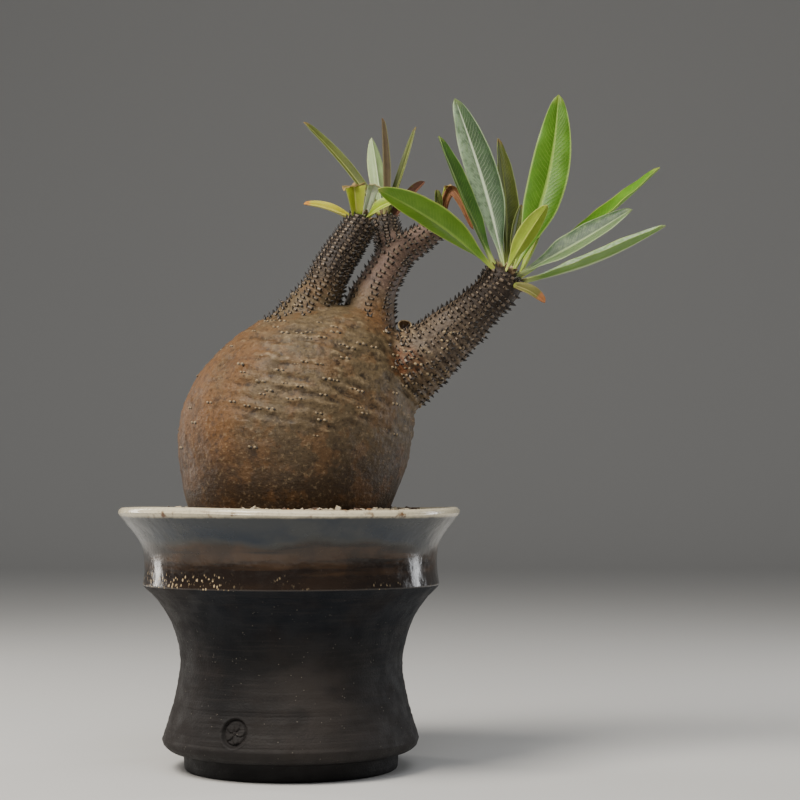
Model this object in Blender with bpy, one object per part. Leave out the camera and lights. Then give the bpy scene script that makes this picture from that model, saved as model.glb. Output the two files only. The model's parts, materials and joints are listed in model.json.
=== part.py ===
"""A potted pachypodium at its real size, in metres with +Z up and +X to the right as seen from the front.

The swollen, wrinkled caudex grows three short spiny branches, each with its leaves, and stands in gritty
soil in a waisted stoneware pot. Every size below is in millimetres, and MM turns it into metres. Places are
measured from the plant's own axis, which an empty puts beside the origin, so that the whole is centred there.
"""

import math
import random

import bmesh
import bpy
from mathutils import Matrix, Vector, noise
from mathutils.bvhtree import BVHTree

MM = 0.001
GAP = 0.35  # between two pieces that touch

# Where the plant's axis stands in the finished part
PLANT_X = -35.5
PLANT_Y = 0.0

# Pot: radii and heights of its turned wall
POT_X = 0.5
POT_SIDES = 36
LIP_RADIUS = 58.2
LIP_HEIGHT = 88.4
LIP_THICKNESS = 3.4
COLLAR_RADIUS = 50.0
COLLAR_HEIGHT = 71.5
SHOULDER_RADIUS = 50.6
SHOULDER_HEIGHT = 62.4
WAIST_RADIUS = 37.9
WAIST_HEIGHT = 36.8
BELLY_RADIUS = 43.8
BELLY_HEIGHT = 10.4
FOOT_RADIUS = 36.6
FOOT_HEIGHT = 5.2
FOOT_RING_WIDTH = 6.0
FOOT_RECESS = 3.2
FLOOR_HEIGHT = 9.0
WALL = 5.0
DRAIN_RADIUS = 8.0
LIP_SHIFT = -0.8
LIP_OVAL = 0.004

# Drain net: square holes between bars, lying on the pot's floor
NET_HOLES = 3
NET_HOLE = 4.4
NET_BAR = 1.8
NET_THICKNESS = 0.8

# Soil
SOIL_SIDES = 24
SOIL_RINGS = 5
SOIL_EDGE_HEIGHT = 85.4
SOIL_MOUND = 1.6
SOIL_RELIEF = 0.5
GRAIN_COUNT = 36
GRAIN_SIZE = (1.5, 2.5)
GRAIN_FORM = (1.5, 1.2, 1.1)
GRAIN_STAND = 0.1  # how far its middle stands above the soil, as a share of its size
GRAIN_MARGIN = 0.8
SOIL_SEED = 11
PIT_CLEARANCE = 0.45
PIT_HEIGHT = 87.2

# Caudex: centre x, height and radius of its level sections, from the root's end to the crown
ROOT_SECTIONS = [
    (0.0, 44.0, 3.0),
    (0.0, 47.0, 5.5),
    (0.0, 58.0, 8.0),
    (0.0, 66.0, 17.0),
    (0.0, 76.0, 28.5),
    (-0.4, 89.0, 34.9),
]
TRUNK_SECTIONS = [
    (0.6, 101.0, 38.4),
    (1.4, 112.0, 40.0),
    (2.4, 120.5, 40.0),
    (3.9, 129.0, 38.4),
    (6.0, 137.5, 35.4),
    (8.6, 146.0, 29.6),
    (11.2, 153.0, 20.8),
    (13.5, 157.3, 10.0),
]
TRUNK_SIDES = 48
TRUNK_DEPTH = 0.96

# Branches: x, y, height and radius along each, from inside the caudex to the growing tip
LEFT_BRANCH = [
    (-3.0, -4.0, 138.0, 12.5),
    (1.4, -5.0, 146.0, 11.4),
    (6.3, -6.0, 154.3, 9.3),
    (10.7, -6.5, 162.4, 7.1),
    (13.8, -6.0, 169.3, 6.3),
    (17.9, -5.0, 176.6, 6.0),
    (21.8, -4.0, 182.6, 5.6),
    (24.6, -3.4, 187.0, 5.1),
]
MIDDLE_BRANCH = [
    (24.0, 0.0, 141.0, 13.0),
    (26.2, 0.0, 151.0, 10.4),
    (27.4, 0.4, 159.8, 8.4),
    (30.1, 1.0, 166.4, 7.0),
    (33.1, 2.0, 171.9, 6.4),
    (36.0, 3.0, 176.2, 6.1),
    (40.0, 3.8, 179.0, 5.0),
    (44.6, 4.6, 182.2, 4.3),
    (48.4, 5.2, 185.2, 4.1),
    (51.8, 5.8, 188.4, 4.1),
]
BACK_FORK = [
    (35.4, 3.4, 175.5, 5.0),
    (34.2, 5.4, 180.0, 4.8),
    (33.0, 7.4, 184.8, 4.5),
    (32.5, 8.8, 189.2, 4.3),
]
RIGHT_BRANCH = [
    (25.0, -2.0, 127.5, 15.5),
    (33.5, -3.0, 132.6, 14.2),
    (41.5, -4.0, 137.4, 12.4),
    (49.4, -5.2, 143.2, 10.4),
    (56.2, -6.3, 149.2, 8.7),
    (62.4, -7.5, 155.0, 7.6),
    (67.8, -8.7, 160.2, 7.2),
    (71.6, -9.6, 164.0, 7.3),
    (73.4, -10.0, 167.4, 7.2),
]
BRANCH_SIDES = 24
TIP_DOME = 0.42  # a tip's dome, as a share of its radius

# Skin of the caudex
SKIN_VOXEL = 1.25
SKIN_SMOOTHING = 5
SKIN_TRIANGLES = 3100
WRINKLE_PITCH = 6.4
WRINKLE_DEPTH = 0.55
WRINKLE_SLOPE = 0.16
WRINKLE_WANDER = 3.0
WRINKLE_WANDER_SIZE = 14.0
LUMP_SIZE = 17.0
LUMP_DEPTH = 0.7

# Spines, which stand in pairs, and the scars that fallen ones leave on the caudex
SPINE_LENGTH = (1.4, 2.2)
SPINE_ROOT = 0.55
SPINE_SUNK = 0.9
SPINE_LEAN = 0.35
SPINE_RISE = 0.15
SPINE_SEED = 5
PAIR_SPREAD = 0.75
PAIR_STEP = 2.7
PAIRS_ROUND = 4
SKIN_REACH = 1.35  # the furthest that a branch's skin lies from its middle, in radii
SCAR_COUNT = 60
SCAR_HEIGHTS = (104, 148)
SCAR_REACH = 43.0
SCAR_STAND = 0.75
SCAR_ROOT = 0.7
GOLDEN_TURN = math.pi * (3 - math.sqrt(5))

# Bud scales on the growing tips, and the dry scale in a crotch
BUD_LENGTH = 1.6
BUD_ROOT = 0.8
BUD_SPREAD = 0.92
DRY_SCALE_ABOVE = (39.0, -3.0, 160.0)
DRY_SCALE_SIZE = (2.3, 1.8, 1.3)
DRY_SCALE_STAND = 0.4

# Each branch, the share of it that is free of spines, and how many bud scales its tip has
SPINY_BRANCHES = (
    (LEFT_BRANCH, 0.28, 5),
    (MIDDLE_BRANCH, 0.24, 5),
    (BACK_FORK, 0.45, 4),
    (RIGHT_BRANCH, 0.2, 7),
)

# Leaves
BLADE_THICKNESS = 0.62
MIDRIB_THICKNESS = 1.1
MIDRIB_TAPER = 0.75
BLADE_CROWN = 0.06
WIDE_BLADE = 8.0
LONG_LEAF = 25.0
LEAF_STATIONS = 10
STUB_STATIONS = 7
PATH_STEPS = 20
SEAT_REACH = 20.0
SPINE_CLEARANCE = 0.5

# Outlines of a blade, as shares of its length and of its greatest width
LANCE_PEAK = 1.18  # above 1 the widest place moves towards the tip
LANCE_FULLNESS = 0.68
LANCE_STALK = 0.3
LANCE_END = 0.07
STRAP_PEAK = 0.9
STRAP_END = 0.15
CUT_ROOT = 0.42

# Materials: colour and roughness
LOOKS = {
    "stoneware": ((0.035, 0.033, 0.034), 0.6),
    "grit": ((0.42, 0.33, 0.22), 0.95),
    "bark": ((0.13, 0.085, 0.048), 0.6),
    "net_plastic": ((0.02, 0.02, 0.02), 0.5),
    "leaf_green": ((0.10, 0.22, 0.03), 0.45),
    "leaf_olive": ((0.15, 0.16, 0.03), 0.5),
    "leaf_yellow": ((0.42, 0.38, 0.05), 0.5),
    "leaf_dry": ((0.20, 0.09, 0.04), 0.8),
}
YELLOW_LEAVES = ("leaf_left_05", "leaf_left_06", "leaf_left_cut", "leaf_left_stub")


def clear_scene():
    for item in list(bpy.data.objects):
        bpy.data.objects.remove(item)


def make_materials():
    """Every material by its name, from the table of looks."""
    materials = {}
    for name, (colour, roughness) in LOOKS.items():
        material = bpy.data.materials.new(name)
        material.use_nodes = True
        shader = material.node_tree.nodes["Principled BSDF"]
        shader.inputs["Base Color"].default_value = (*colour, 1.0)
        shader.inputs["Roughness"].default_value = roughness
        materials[name] = material
    return materials


def add_object(name, mesh, material=None, parent=None):
    item = bpy.data.objects.new(name, mesh)
    bpy.context.scene.collection.objects.link(item)
    if material:
        mesh.materials.clear()
        mesh.materials.append(material)
    item.parent = parent
    return item


def mesh_from(name, points, faces):
    """A mesh whose points are given in millimetres."""
    mesh = bpy.data.meshes.new(name)
    mesh.from_pydata([Vector(p) * MM for p in points], [], faces)
    mesh.update()
    return mesh


def settle(item):
    """Applies an object's modifiers."""
    depsgraph = bpy.context.evaluated_depsgraph_get()
    mesh = bpy.data.meshes.new_from_object(item.evaluated_get(depsgraph))
    item.modifiers.clear()
    item.data = mesh


def finish(item, angle):
    """Turns the faces outwards, and shades them smooth apart from edges sharper than the angle."""
    shape = bmesh.new()
    shape.from_mesh(item.data)
    bmesh.ops.recalc_face_normals(shape, faces=shape.faces)
    shape.to_mesh(item.data)
    shape.free()
    item.data.shade_smooth()
    item.data.set_sharp_from_angle(angle=math.radians(angle))


def smooth_run(points, steps):
    """Points on a smooth curve through the given ones, which may have any number of coordinates."""
    run = []
    last = len(points) - 1
    for i in range(last):
        corners = (points[max(i - 1, 0)], points[i], points[i + 1], points[min(i + 2, last)])
        for step in range(steps):
            run.append(tuple(curve_value(*values, step / steps) for values in zip(*corners)))
    run.append(tuple(points[last]))
    return run


def curve_value(before, start, end, after, t):
    """The value between start (t = 0) and end (t = 1) of the smooth curve through four even steps."""
    slope = end - before
    bend = 2 * before - 5 * start + 4 * end - after
    twist = 3 * (start - end) + after - before
    return start + (slope * t + bend * t ** 2 + twist * t ** 3) / 2


def ease(low, high, value):
    t = min(max((value - low) / (high - low), 0.0), 1.0)
    return t * t * (3 - 2 * t)


def bridge_rings(rings, close_ends=True):
    """Points and faces of rings with equal numbers of points, joined one to the next."""
    points = [p for ring in rings for p in ring]
    sides = len(rings[0])
    faces = []
    for i in range(len(rings) - 1):
        for j in range(sides):
            k = (j + 1) % sides
            faces.append((i * sides + j, i * sides + k, (i + 1) * sides + k, (i + 1) * sides + j))
    if close_ends:
        faces.append(tuple(reversed(range(sides))))
        faces.append(tuple(range(len(points) - sides, len(points))))
    return points, faces


def level_ring(radius, height, sides, centre_x=0.0, oval=0.0):
    ring = []
    for j in range(sides):
        angle = 2 * math.pi * j / sides
        r = radius * (1 + oval * math.cos(2 * angle))
        ring.append((centre_x + r * math.cos(angle), r * math.sin(angle), height))
    return ring


def turned_ring(radius, height, sides):
    """A level ring round the pot's axis. Near the lip it drifts and turns oval, as a hand-thrown rim does."""
    share = ease(SHOULDER_HEIGHT, LIP_HEIGHT, height)
    return level_ring(radius, height, sides, POT_X + LIP_SHIFT * share, LIP_OVAL * share)


def turned_loop(name, outline, sides):
    """A closed outline of (radius, height) points, turned round the pot's axis into a ring-shaped solid."""
    rings = [turned_ring(r, z, sides) for r, z in outline + outline[:1]]
    points, faces = bridge_rings(rings, close_ends=False)
    whole = sides * len(outline)
    faces = [tuple(i % whole for i in face) for face in faces]
    return mesh_from(name, points[:whole], faces)


def closed_stack(name, rings):
    """A solid through level rings, closed at both ends by a flat face."""
    return mesh_from(name, *bridge_rings(rings))


def pot_outside():
    """From the lip down to the foot."""
    flare = smooth_run([
        (LIP_RADIUS, LIP_HEIGHT - 1.6),
        (55.9, 83.4),
        (52.8, 79.6),
        (50.7, 75.8),
        (COLLAR_RADIUS, COLLAR_HEIGHT),
        (SHOULDER_RADIUS, SHOULDER_HEIGHT),
    ], 1)
    body = smooth_run([
        (SHOULDER_RADIUS - 1.1, SHOULDER_HEIGHT - 1.5),
        (45.4, 56.6),
        (40.7, 48.6),
        (WAIST_RADIUS, WAIST_HEIGHT),
        (39.7, 24.2),
        (BELLY_RADIUS, BELLY_HEIGHT),
    ], 2)
    foot = [
        (BELLY_RADIUS - 0.8, 8.2),
        (BELLY_RADIUS - 3.0, 6.6),
        (FOOT_RADIUS + 0.4, FOOT_HEIGHT + 0.6),
        (FOOT_RADIUS, FOOT_HEIGHT - 0.6),
        (FOOT_RADIUS - 0.4, 0.7),
        (FOOT_RADIUS - 1.0, 0.0),
    ]
    return flare + body + foot


def pot_inside():
    """From the floor's edge up to the lip."""
    return [
        (WAIST_RADIUS - WALL, FLOOR_HEIGHT),
        (BELLY_RADIUS - WALL - 2.6, FLOOR_HEIGHT + 1.4),
        (BELLY_RADIUS - WALL - 1.2, FLOOR_HEIGHT + 5.0),
        (39.7 - WALL, 24.2),
        (WAIST_RADIUS - WALL, WAIST_HEIGHT - 3.0),
        (WAIST_RADIUS - WALL + 0.2, WAIST_HEIGHT + 3.0),
        (40.7 - WALL, 48.0),
        (SHOULDER_RADIUS - WALL - 4.2, 56.0),
        (SHOULDER_RADIUS - WALL - 0.6, SHOULDER_HEIGHT),
        (COLLAR_RADIUS - WALL, COLLAR_HEIGHT),
        (47.4, 77.4),
        (51.4, 82.8),
        (LIP_RADIUS - LIP_THICKNESS, LIP_HEIGHT - 1.2),
    ]


def make_pot(material, parent):
    inner_lip = LIP_RADIUS - LIP_THICKNESS
    lip = [
        (inner_lip + 0.7, LIP_HEIGHT - 0.3),
        (LIP_RADIUS - 1.4, LIP_HEIGHT),
        (LIP_RADIUS - 0.4, LIP_HEIGHT - 0.6),
    ]
    ring_inside = FOOT_RADIUS - FOOT_RING_WIDTH
    underside = [
        (ring_inside, 0.0),
        (ring_inside - 0.8, FOOT_RECESS),
        (DRAIN_RADIUS, FOOT_RECESS),
        (DRAIN_RADIUS, FLOOR_HEIGHT),
    ]
    outline = lip + pot_outside() + underside + pot_inside()
    pot = add_object("pot", turned_loop("pot", outline, POT_SIDES), material, parent)
    finish(pot, 40)


def make_drain_net(material, parent):
    """A square plate of bars: a grid of cells, of which the holes' cells are left out."""
    lines = [0.0]
    for _ in range(NET_HOLES):
        lines += [lines[-1] + NET_BAR, lines[-1] + NET_BAR + NET_HOLE]
    lines.append(lines[-1] + NET_BAR)
    half = lines[-1] / 2
    count = len(lines)
    points = [(POT_X + x - half, y - half, FLOOR_HEIGHT + GAP) for y in lines for x in lines]
    cells = []
    for row in range(count - 1):
        for column in range(count - 1):
            if row % 2 and column % 2:
                continue
            corner = row * count + column
            cells.append((corner, corner + 1, corner + count + 1, corner + count))
    net = add_object("drain_net", mesh_from("drain_net", points, cells), material, parent)
    solid = net.modifiers.new("thickness", "SOLIDIFY")
    solid.thickness = NET_THICKNESS * MM
    solid.offset = 1.0


def net_half_width():
    return (NET_HOLES * NET_HOLE + (NET_HOLES + 1) * NET_BAR) / 2


def root_radius(height):
    """Radius of the smooth caudex at a height near the soil's top."""
    sections = smooth_run(ROOT_SECTIONS + TRUNK_SECTIONS[:1], 6)
    for (_, low, small), (_, high, large) in zip(sections, sections[1:]):
        if low <= height <= high:
            return small + (large - small) * (height - low) / (high - low)
    return sections[-1][2]


def soil_height(share):
    """Height of the soil's top, from the pot's wall (0) to the caudex (1)."""
    return SOIL_EDGE_HEIGHT + SOIL_MOUND * math.sin(share * math.pi / 2)


def soil_wall():
    """Rings against the pot's inside, from the floor up to the soil's edge."""
    inside = pot_inside()
    on_floor = FLOOR_HEIGHT + WALL
    wall = [(r - GAP, z + (GAP if z < on_floor else 0.0)) for r, z in inside if z < SOIL_EDGE_HEIGHT]
    (low_r, low_z), (high_r, high_z) = inside[-2:]
    share = (SOIL_EDGE_HEIGHT - low_z) / (high_z - low_z)
    return wall + [(low_r + (high_r - low_r) * share - GAP, SOIL_EDGE_HEIGHT)]


def soil_pit():
    """Rings round the buried root, from the soil's top down. Their flat sides, too, keep off the root."""
    flat_side = math.cos(math.pi / SOIL_SIDES)
    root = [(r, z) for x, z, r in smooth_run(ROOT_SECTIONS + TRUNK_SECTIONS[:1], 2) if z < PIT_HEIGHT]
    root.append((root_radius(PIT_HEIGHT), PIT_HEIGHT))
    return [((r + PIT_CLEARANCE) / flat_side, z) for r, z in reversed(root)]


def make_soil(material, parent):
    """The filling: it follows the pot's inside, has a plain pit for the root, and grains on its top."""
    chance = random.Random(SOIL_SEED)
    wall, pit = soil_wall(), soil_pit()
    edge, brink = wall[-1][0], pit[0][0]
    pocket = net_half_width() * math.sqrt(2) + 1.0
    pocket_height = FLOOR_HEIGHT + NET_THICKNESS + 2 * GAP
    outside = [(pocket, pocket_height), (pocket, FLOOR_HEIGHT + GAP)] + wall
    rings = [turned_ring(r, z, SOIL_SIDES) for r, z in outside]
    for i in range(1, SOIL_RINGS):
        share = i / SOIL_RINGS
        ring = turned_ring(edge + (brink - edge) * share, soil_height(share), SOIL_SIDES)
        rings.append([(x, y, z + chance.uniform(-1, 1) * SOIL_RELIEF) for x, y, z in ring])
    rings += [level_ring(r, z, SOIL_SIDES) for r, z in pit]
    soil = add_object("soil", closed_stack("soil", rings), material)
    finish(soil, 40)
    union_with(soil, [make_grain(chance, brink, edge) for _ in range(GRAIN_COUNT)])
    soil.parent = parent


def make_grain(chance, inner, outer):
    """A small angular stone, half sunk in the soil's top."""
    size = chance.uniform(*GRAIN_SIZE)
    radius = chance.uniform(inner + size + GRAIN_MARGIN, outer - size - GRAIN_MARGIN)
    angle = chance.uniform(0, 2 * math.pi)
    height = soil_height((outer - radius) / (outer - inner)) + size * GRAIN_STAND
    place = Vector((radius * math.cos(angle), radius * math.sin(angle), height))
    tumble = Matrix.Rotation(chance.uniform(0, math.pi), 4, Vector((chance.random(), chance.random(), 0.4)))
    shape = bmesh.new()
    bmesh.ops.create_cube(shape, size=1.0)
    for vertex in shape.verts:
        vertex.co *= chance.uniform(0.82, 1.15)
    return loose_solid("grain", shape, place, Vector(GRAIN_FORM) * size, tumble)


def loose_solid(name, shape, place, size, turn=None):
    """A shape, stretched and put at a place in millimetres, as an object that is in no collection yet."""
    stretch = Matrix.Diagonal((*(size * MM), 1.0))
    shape.transform(Matrix.Translation(place * MM) @ (turn or Matrix()) @ stretch)
    mesh = bpy.data.meshes.new(name)
    shape.to_mesh(mesh)
    shape.free()
    return bpy.data.objects.new(name, mesh)


def union_with(item, extras):
    """Fuses loose solids into an object with one Boolean union, and removes them."""
    group = bpy.data.collections.new("extras")
    bpy.context.scene.collection.children.link(group)
    for extra in extras:
        group.objects.link(extra)
    bpy.context.view_layer.update()
    union = item.modifiers.new("union", "BOOLEAN")
    union.operation = "UNION"
    union.operand_type = "COLLECTION"
    union.collection = group
    settle(item)
    for extra in extras:
        bpy.data.objects.remove(extra)
    bpy.data.collections.remove(group)


def tube_rings(path, sides):
    """Rings square to a path of (x, y, z, radius) points."""
    centres = [Vector(p[:3]) for p in path]
    rings = []
    for i, centre in enumerate(centres):
        ahead = centres[min(i + 1, len(path) - 1)] - centres[max(i - 1, 0)]
        side, other = across_axes(ahead.normalized())
        ring = []
        for j in range(sides):
            angle = 2 * math.pi * j / sides
            ring.append(tuple(centre + (side * math.cos(angle) + other * math.sin(angle)) * path[i][3]))
        rings.append(ring)
    return rings


def across_axes(ahead):
    """Two directions square to a branch, of which the first looks to the back."""
    side = (Vector((0, 1, 0)) - ahead * ahead.y).normalized()
    return side, ahead.cross(side)


def growing_direction(branch):
    return (Vector(branch[-1][:3]) - Vector(branch[-2][:3])).normalized()


def with_dome(branch):
    """A branch's path with its tip rounded over."""
    tip, radius = Vector(branch[-1][:3]), branch[-1][3]
    path = smooth_run(branch, 4)
    for turn in (30, 55, 75):
        lift = radius * TIP_DOME * math.sin(math.radians(turn))
        path.append((*(tip + growing_direction(branch) * lift), radius * math.cos(math.radians(turn))))
    return path


def make_body_parts():
    """The caudex with its root, and the branches, as overlapping closed solids in one mesh."""
    shapes = [bridge_rings(trunk_rings())]
    for branch in (LEFT_BRANCH, MIDDLE_BRANCH, BACK_FORK, RIGHT_BRANCH):
        shapes.append(bridge_rings(tube_rings(with_dome(branch), BRANCH_SIDES)))
    points, faces = [], []
    for shape_points, shape_faces in shapes:
        start = len(points)
        points += shape_points
        faces += [tuple(i + start for i in face) for face in shape_faces]
    return mesh_from("caudex", points, faces)


def trunk_rings():
    """Level rings of the caudex: round in the soil, and a little flattened from front to back above it."""
    rings = []
    for x, z, radius in smooth_run(ROOT_SECTIONS + TRUNK_SECTIONS, 3):
        depth = 1 + (TRUNK_DEPTH - 1) * ease(90, 120, z)
        ring = level_ring(radius, z, TRUNK_SIDES)
        rings.append([(x + ring_x, ring_y * depth, z) for ring_x, ring_y, _ in ring])
    return rings


def skin_relief(place):
    """How far the skin stands out at a place: broad lumps, and wrinkles that slope down to the right."""
    x, y, z = place
    lumps = noise.noise(Vector(place) / LUMP_SIZE) * LUMP_DEPTH * ease(92, 104, z)
    drift = noise.noise(Vector((x, y, 0)) / WRINKLE_WANDER_SIZE) * WRINKLE_WANDER
    phase = (z + WRINKLE_SLOPE * x + drift) / WRINKLE_PITCH
    wrinkled = ease(102, 122, z) * (1 - ease(147, 155, z)) * ease(-42, 20, x)
    return lumps + math.sin(2 * math.pi * phase) * WRINKLE_DEPTH * wrinkled


def make_skin():
    """One closed surface over the caudex and its branches, with rounded crotches and wrinkles."""
    skin = add_object("caudex", make_body_parts())
    remesh = skin.modifiers.new("one surface", "REMESH")
    remesh.mode = "VOXEL"
    remesh.voxel_size = SKIN_VOXEL * MM
    smooth = skin.modifiers.new("rounding", "SMOOTH")
    smooth.factor = 0.5
    smooth.iterations = SKIN_SMOOTHING
    settle(skin)
    mesh = skin.data
    normals = [vertex.normal.copy() for vertex in mesh.vertices]
    for vertex, normal in zip(mesh.vertices, normals):
        vertex.co += normal * skin_relief(vertex.co / MM) * MM
    thin = skin.modifiers.new("fewer triangles", "DECIMATE")
    thin.ratio = SKIN_TRIANGLES / (2 * len(mesh.polygons))
    settle(skin)
    return skin


def make_spine(root, direction, length, width):
    """A three-sided spine from below the skin to its point."""
    side = direction.orthogonal().normalized()
    other = direction.cross(side)
    base = root - direction * SPINE_SUNK
    points = []
    for j in range(3):
        angle = 2 * math.pi * j / 3
        points.append(base + (side * math.cos(angle) + other * math.sin(angle)) * width)
    points.append(root + direction * length)
    faces = [(2, 1, 0), (0, 1, 3), (1, 2, 3), (2, 0, 3)]
    return bpy.data.objects.new("spine", mesh_from("spine", points, faces))


def surface_hit(tree, start, direction):
    """Where a ray meets the skin, in millimetres, and the skin's normal there."""
    place, normal, _, _ = tree.ray_cast(start * MM, direction)
    return (place / MM, normal) if place else (None, None)


def branch_spines(tree, branch, first_share, chance):
    """Pairs of spines in rows along a branch, from where it leaves the caudex to its tip."""
    path = smooth_run(branch, 12)
    first = int(first_share * len(path))
    spines = []
    travelled = 0.0
    level = 0
    for start, end in zip(path[first:], path[first + 1:]):
        centre = Vector(start[:3])
        step = Vector(end[:3]) - centre
        travelled += step.length
        if travelled < level * PAIR_STEP:
            continue
        level += 1
        for i in range(PAIRS_ROUND):
            turn = 2 * math.pi * (i + level % 2 / 2 + chance.uniform(-0.06, 0.06)) / PAIRS_ROUND
            spines += spine_pair(tree, centre, step.normalized(), turn, start[3], chance)
    return spines


def spine_pair(tree, centre, ahead, turn, radius, chance):
    """Two spines side by side on a branch, or none where the ray from its middle meets another branch."""
    side, other = across_axes(ahead)
    place, normal = surface_hit(tree, centre, side * math.cos(turn) + other * math.sin(turn))
    if place is None or (place - centre).length > radius * SKIN_REACH:
        return []
    across = ahead.cross(normal).normalized()
    pair = []
    for half in (-1, 1):
        aim = (normal + across * half * SPINE_LEAN + ahead * SPINE_RISE).normalized()
        root = place + across * half * PAIR_SPREAD
        pair.append(make_spine(root, aim, chance.uniform(*SPINE_LENGTH), SPINE_ROOT))
    return pair


def caudex_scars(tree, chance):
    """Small bumps all round the caudex, thickest on its shoulders."""
    scars = []
    low, high = SCAR_HEIGHTS
    for i in range(SCAR_COUNT):
        share = (i + 0.5) / SCAR_COUNT
        out = Vector((math.cos(i * GOLDEN_TURN), math.sin(i * GOLDEN_TURN), 0))
        start = Vector((2.0 + 6.0 * share, 0, low + (high - low) * math.sqrt(share)))
        place, normal = surface_hit(tree, start, out)
        if place is not None and (place - start).length < SCAR_REACH:
            aim = (normal + Vector((0, 0, 0.3))).normalized()
            scars.append(make_spine(place, aim, SCAR_STAND * chance.uniform(0.7, 1.3), SCAR_ROOT))
    return scars


def dry_scale(tree):
    """The dried scale that is caught in the right-hand crotch."""
    place, _ = surface_hit(tree, Vector(DRY_SCALE_ABOVE), Vector((0, 0, -1)))
    shape = bmesh.new()
    bmesh.ops.create_uvsphere(shape, u_segments=8, v_segments=4, radius=1.0)
    return loose_solid("dry_scale", shape, place + Vector((0, 0, DRY_SCALE_STAND)), Vector(DRY_SCALE_SIZE))


def bud_scales(tree, branch, count, chance):
    """Short scales between the leaves' roots on a growing tip."""
    tip = Vector(branch[-1][:3])
    ahead = growing_direction(branch)
    side, other = across_axes(ahead)
    scales = []
    for i in range(count):
        turn = 2 * math.pi * (i + chance.uniform(-0.2, 0.2)) / count
        out = side * math.cos(turn) + other * math.sin(turn)
        start = tip + out * branch[-1][3] * BUD_SPREAD + ahead * SEAT_REACH
        place, _ = surface_hit(tree, start, -ahead)
        if place is not None:
            scales.append(make_spine(place, (out * 0.8 + ahead).normalized(), BUD_LENGTH, BUD_ROOT))
    return scales


def stands_clear(extra, blades):
    """Whether a spine or scale keeps off every leaf."""
    corners = [vertex.co for vertex in extra.data.vertices]
    corners.append(sum(corners, Vector()) / len(corners))
    return all(blades.find_nearest(point)[3] > SPINE_CLEARANCE * MM for point in corners)


def grow_spines(skin, tree, blades):
    """Fuses the spines, scars and bud scales to the skin, apart from those that would touch a leaf."""
    chance = random.Random(SPINE_SEED)
    extras = caudex_scars(tree, chance) + [dry_scale(tree)]
    for branch, first_share, buds in SPINY_BRANCHES:
        extras += branch_spines(tree, branch, first_share, chance)
        extras += bud_scales(tree, branch, buds, chance)
    clear = [extra for extra in extras if stands_clear(extra, blades)]
    for extra in set(extras) - set(clear):
        bpy.data.objects.remove(extra)
    union_with(skin, clear)


def mesh_tree(meshes):
    """The triangles of some meshes, for finding what is near or ahead."""
    points, triangles = [], []
    for mesh in meshes:
        start = len(points)
        mesh.calc_loop_triangles()
        points += [vertex.co for vertex in mesh.vertices]
        triangles += [tuple(i + start for i in triangle.vertices) for triangle in mesh.loop_triangles]
    return BVHTree.FromPolygons(points, triangles)


def lance(t):
    """A stalk-like root, widest past the middle, and a blunt tip."""
    swell = max(math.sin(math.pi * t ** LANCE_PEAK), 0.0) ** LANCE_FULLNESS
    return swell * (LANCE_STALK + (1 - LANCE_STALK) * ease(0.0, 0.4, t)) + LANCE_END


def strap(t):
    """Nearly even in width, with rounded ends."""
    return max(math.sin(math.pi * t ** STRAP_PEAK), 0.0) ** 0.5 * (1 - STRAP_END) + STRAP_END


def cut(t):
    """Wider to the end, where it is cut off."""
    return CUT_ROOT + (1 - CUT_ROOT) * t


# Each leaf: root, tip, width, turn of its upper face from the front in degrees, bow out of that face,
# sway to its right, fold and outline
RIGHT_ROSETTE = {
    "leaf_right_01": ((72.8, -8.0, 170.0), (57.0, 8.0, 232.8), 11.8, 22, -2.5, 2.6, 0.16, lance),
    "leaf_right_02": ((69.8, -12.0, 170.0), (51.1, -4.0, 216.9), 8.6, 58, -1.0, 0.0, 0.28, lance),
    "leaf_right_03": ((69.6, -14.0, 168.5), (30.4, -34.0, 193.4), 12.0, 127, 2.5, 0.0, 0.12, lance),
    "leaf_right_04": ((73.6, -6.5, 170.5), (72.9, 20.0, 221.0), 9.0, 42, -2.0, 4.0, 0.22, lance),
    "leaf_right_05": ((77.0, -9.0, 170.0), (92.7, -3.0, 231.6), 12.6, -6, -2.0, 3.6, 0.10, lance),
    "leaf_right_06": ((73.2, -14.8, 168.5), (86.7, -26.0, 189.3), 6.2, 200, 1.0, 0.0, 0.22, lance),
    "leaf_right_07": ((76.2, -5.6, 169.0), (80.4, 9.0, 195.2), 5.0, 30, -1.0, 0.0, 0.20, lance),
    "leaf_right_08": ((78.6, -7.4, 168.0), (129.4, 10.0, 208.6), 11.0, -70, -2.0, 0.0, 0.20, lance),
    "leaf_right_09": ((77.6, -13.0, 167.5), (115.1, -24.0, 188.1), 11.0, -50, -1.0, 0.0, 0.15, lance),
    "leaf_right_10": ((79.8, -10.4, 166.2), (128.3, -10.0, 184.9), 13.0, -80, -2.8, 0.0, 0.23, lance),
    "leaf_right_11": ((79.0, -4.8, 168.0), (89.4, 2.0, 192.4), 4.4, -62, -1.0, 0.0, 0.25, lance),
    "leaf_right_dry": ((76.4, -16.2, 163.6), (86.4, -18.0, 157.4), 4.2, -30, 1.2, 0.0, 0.35, strap),
}
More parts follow.
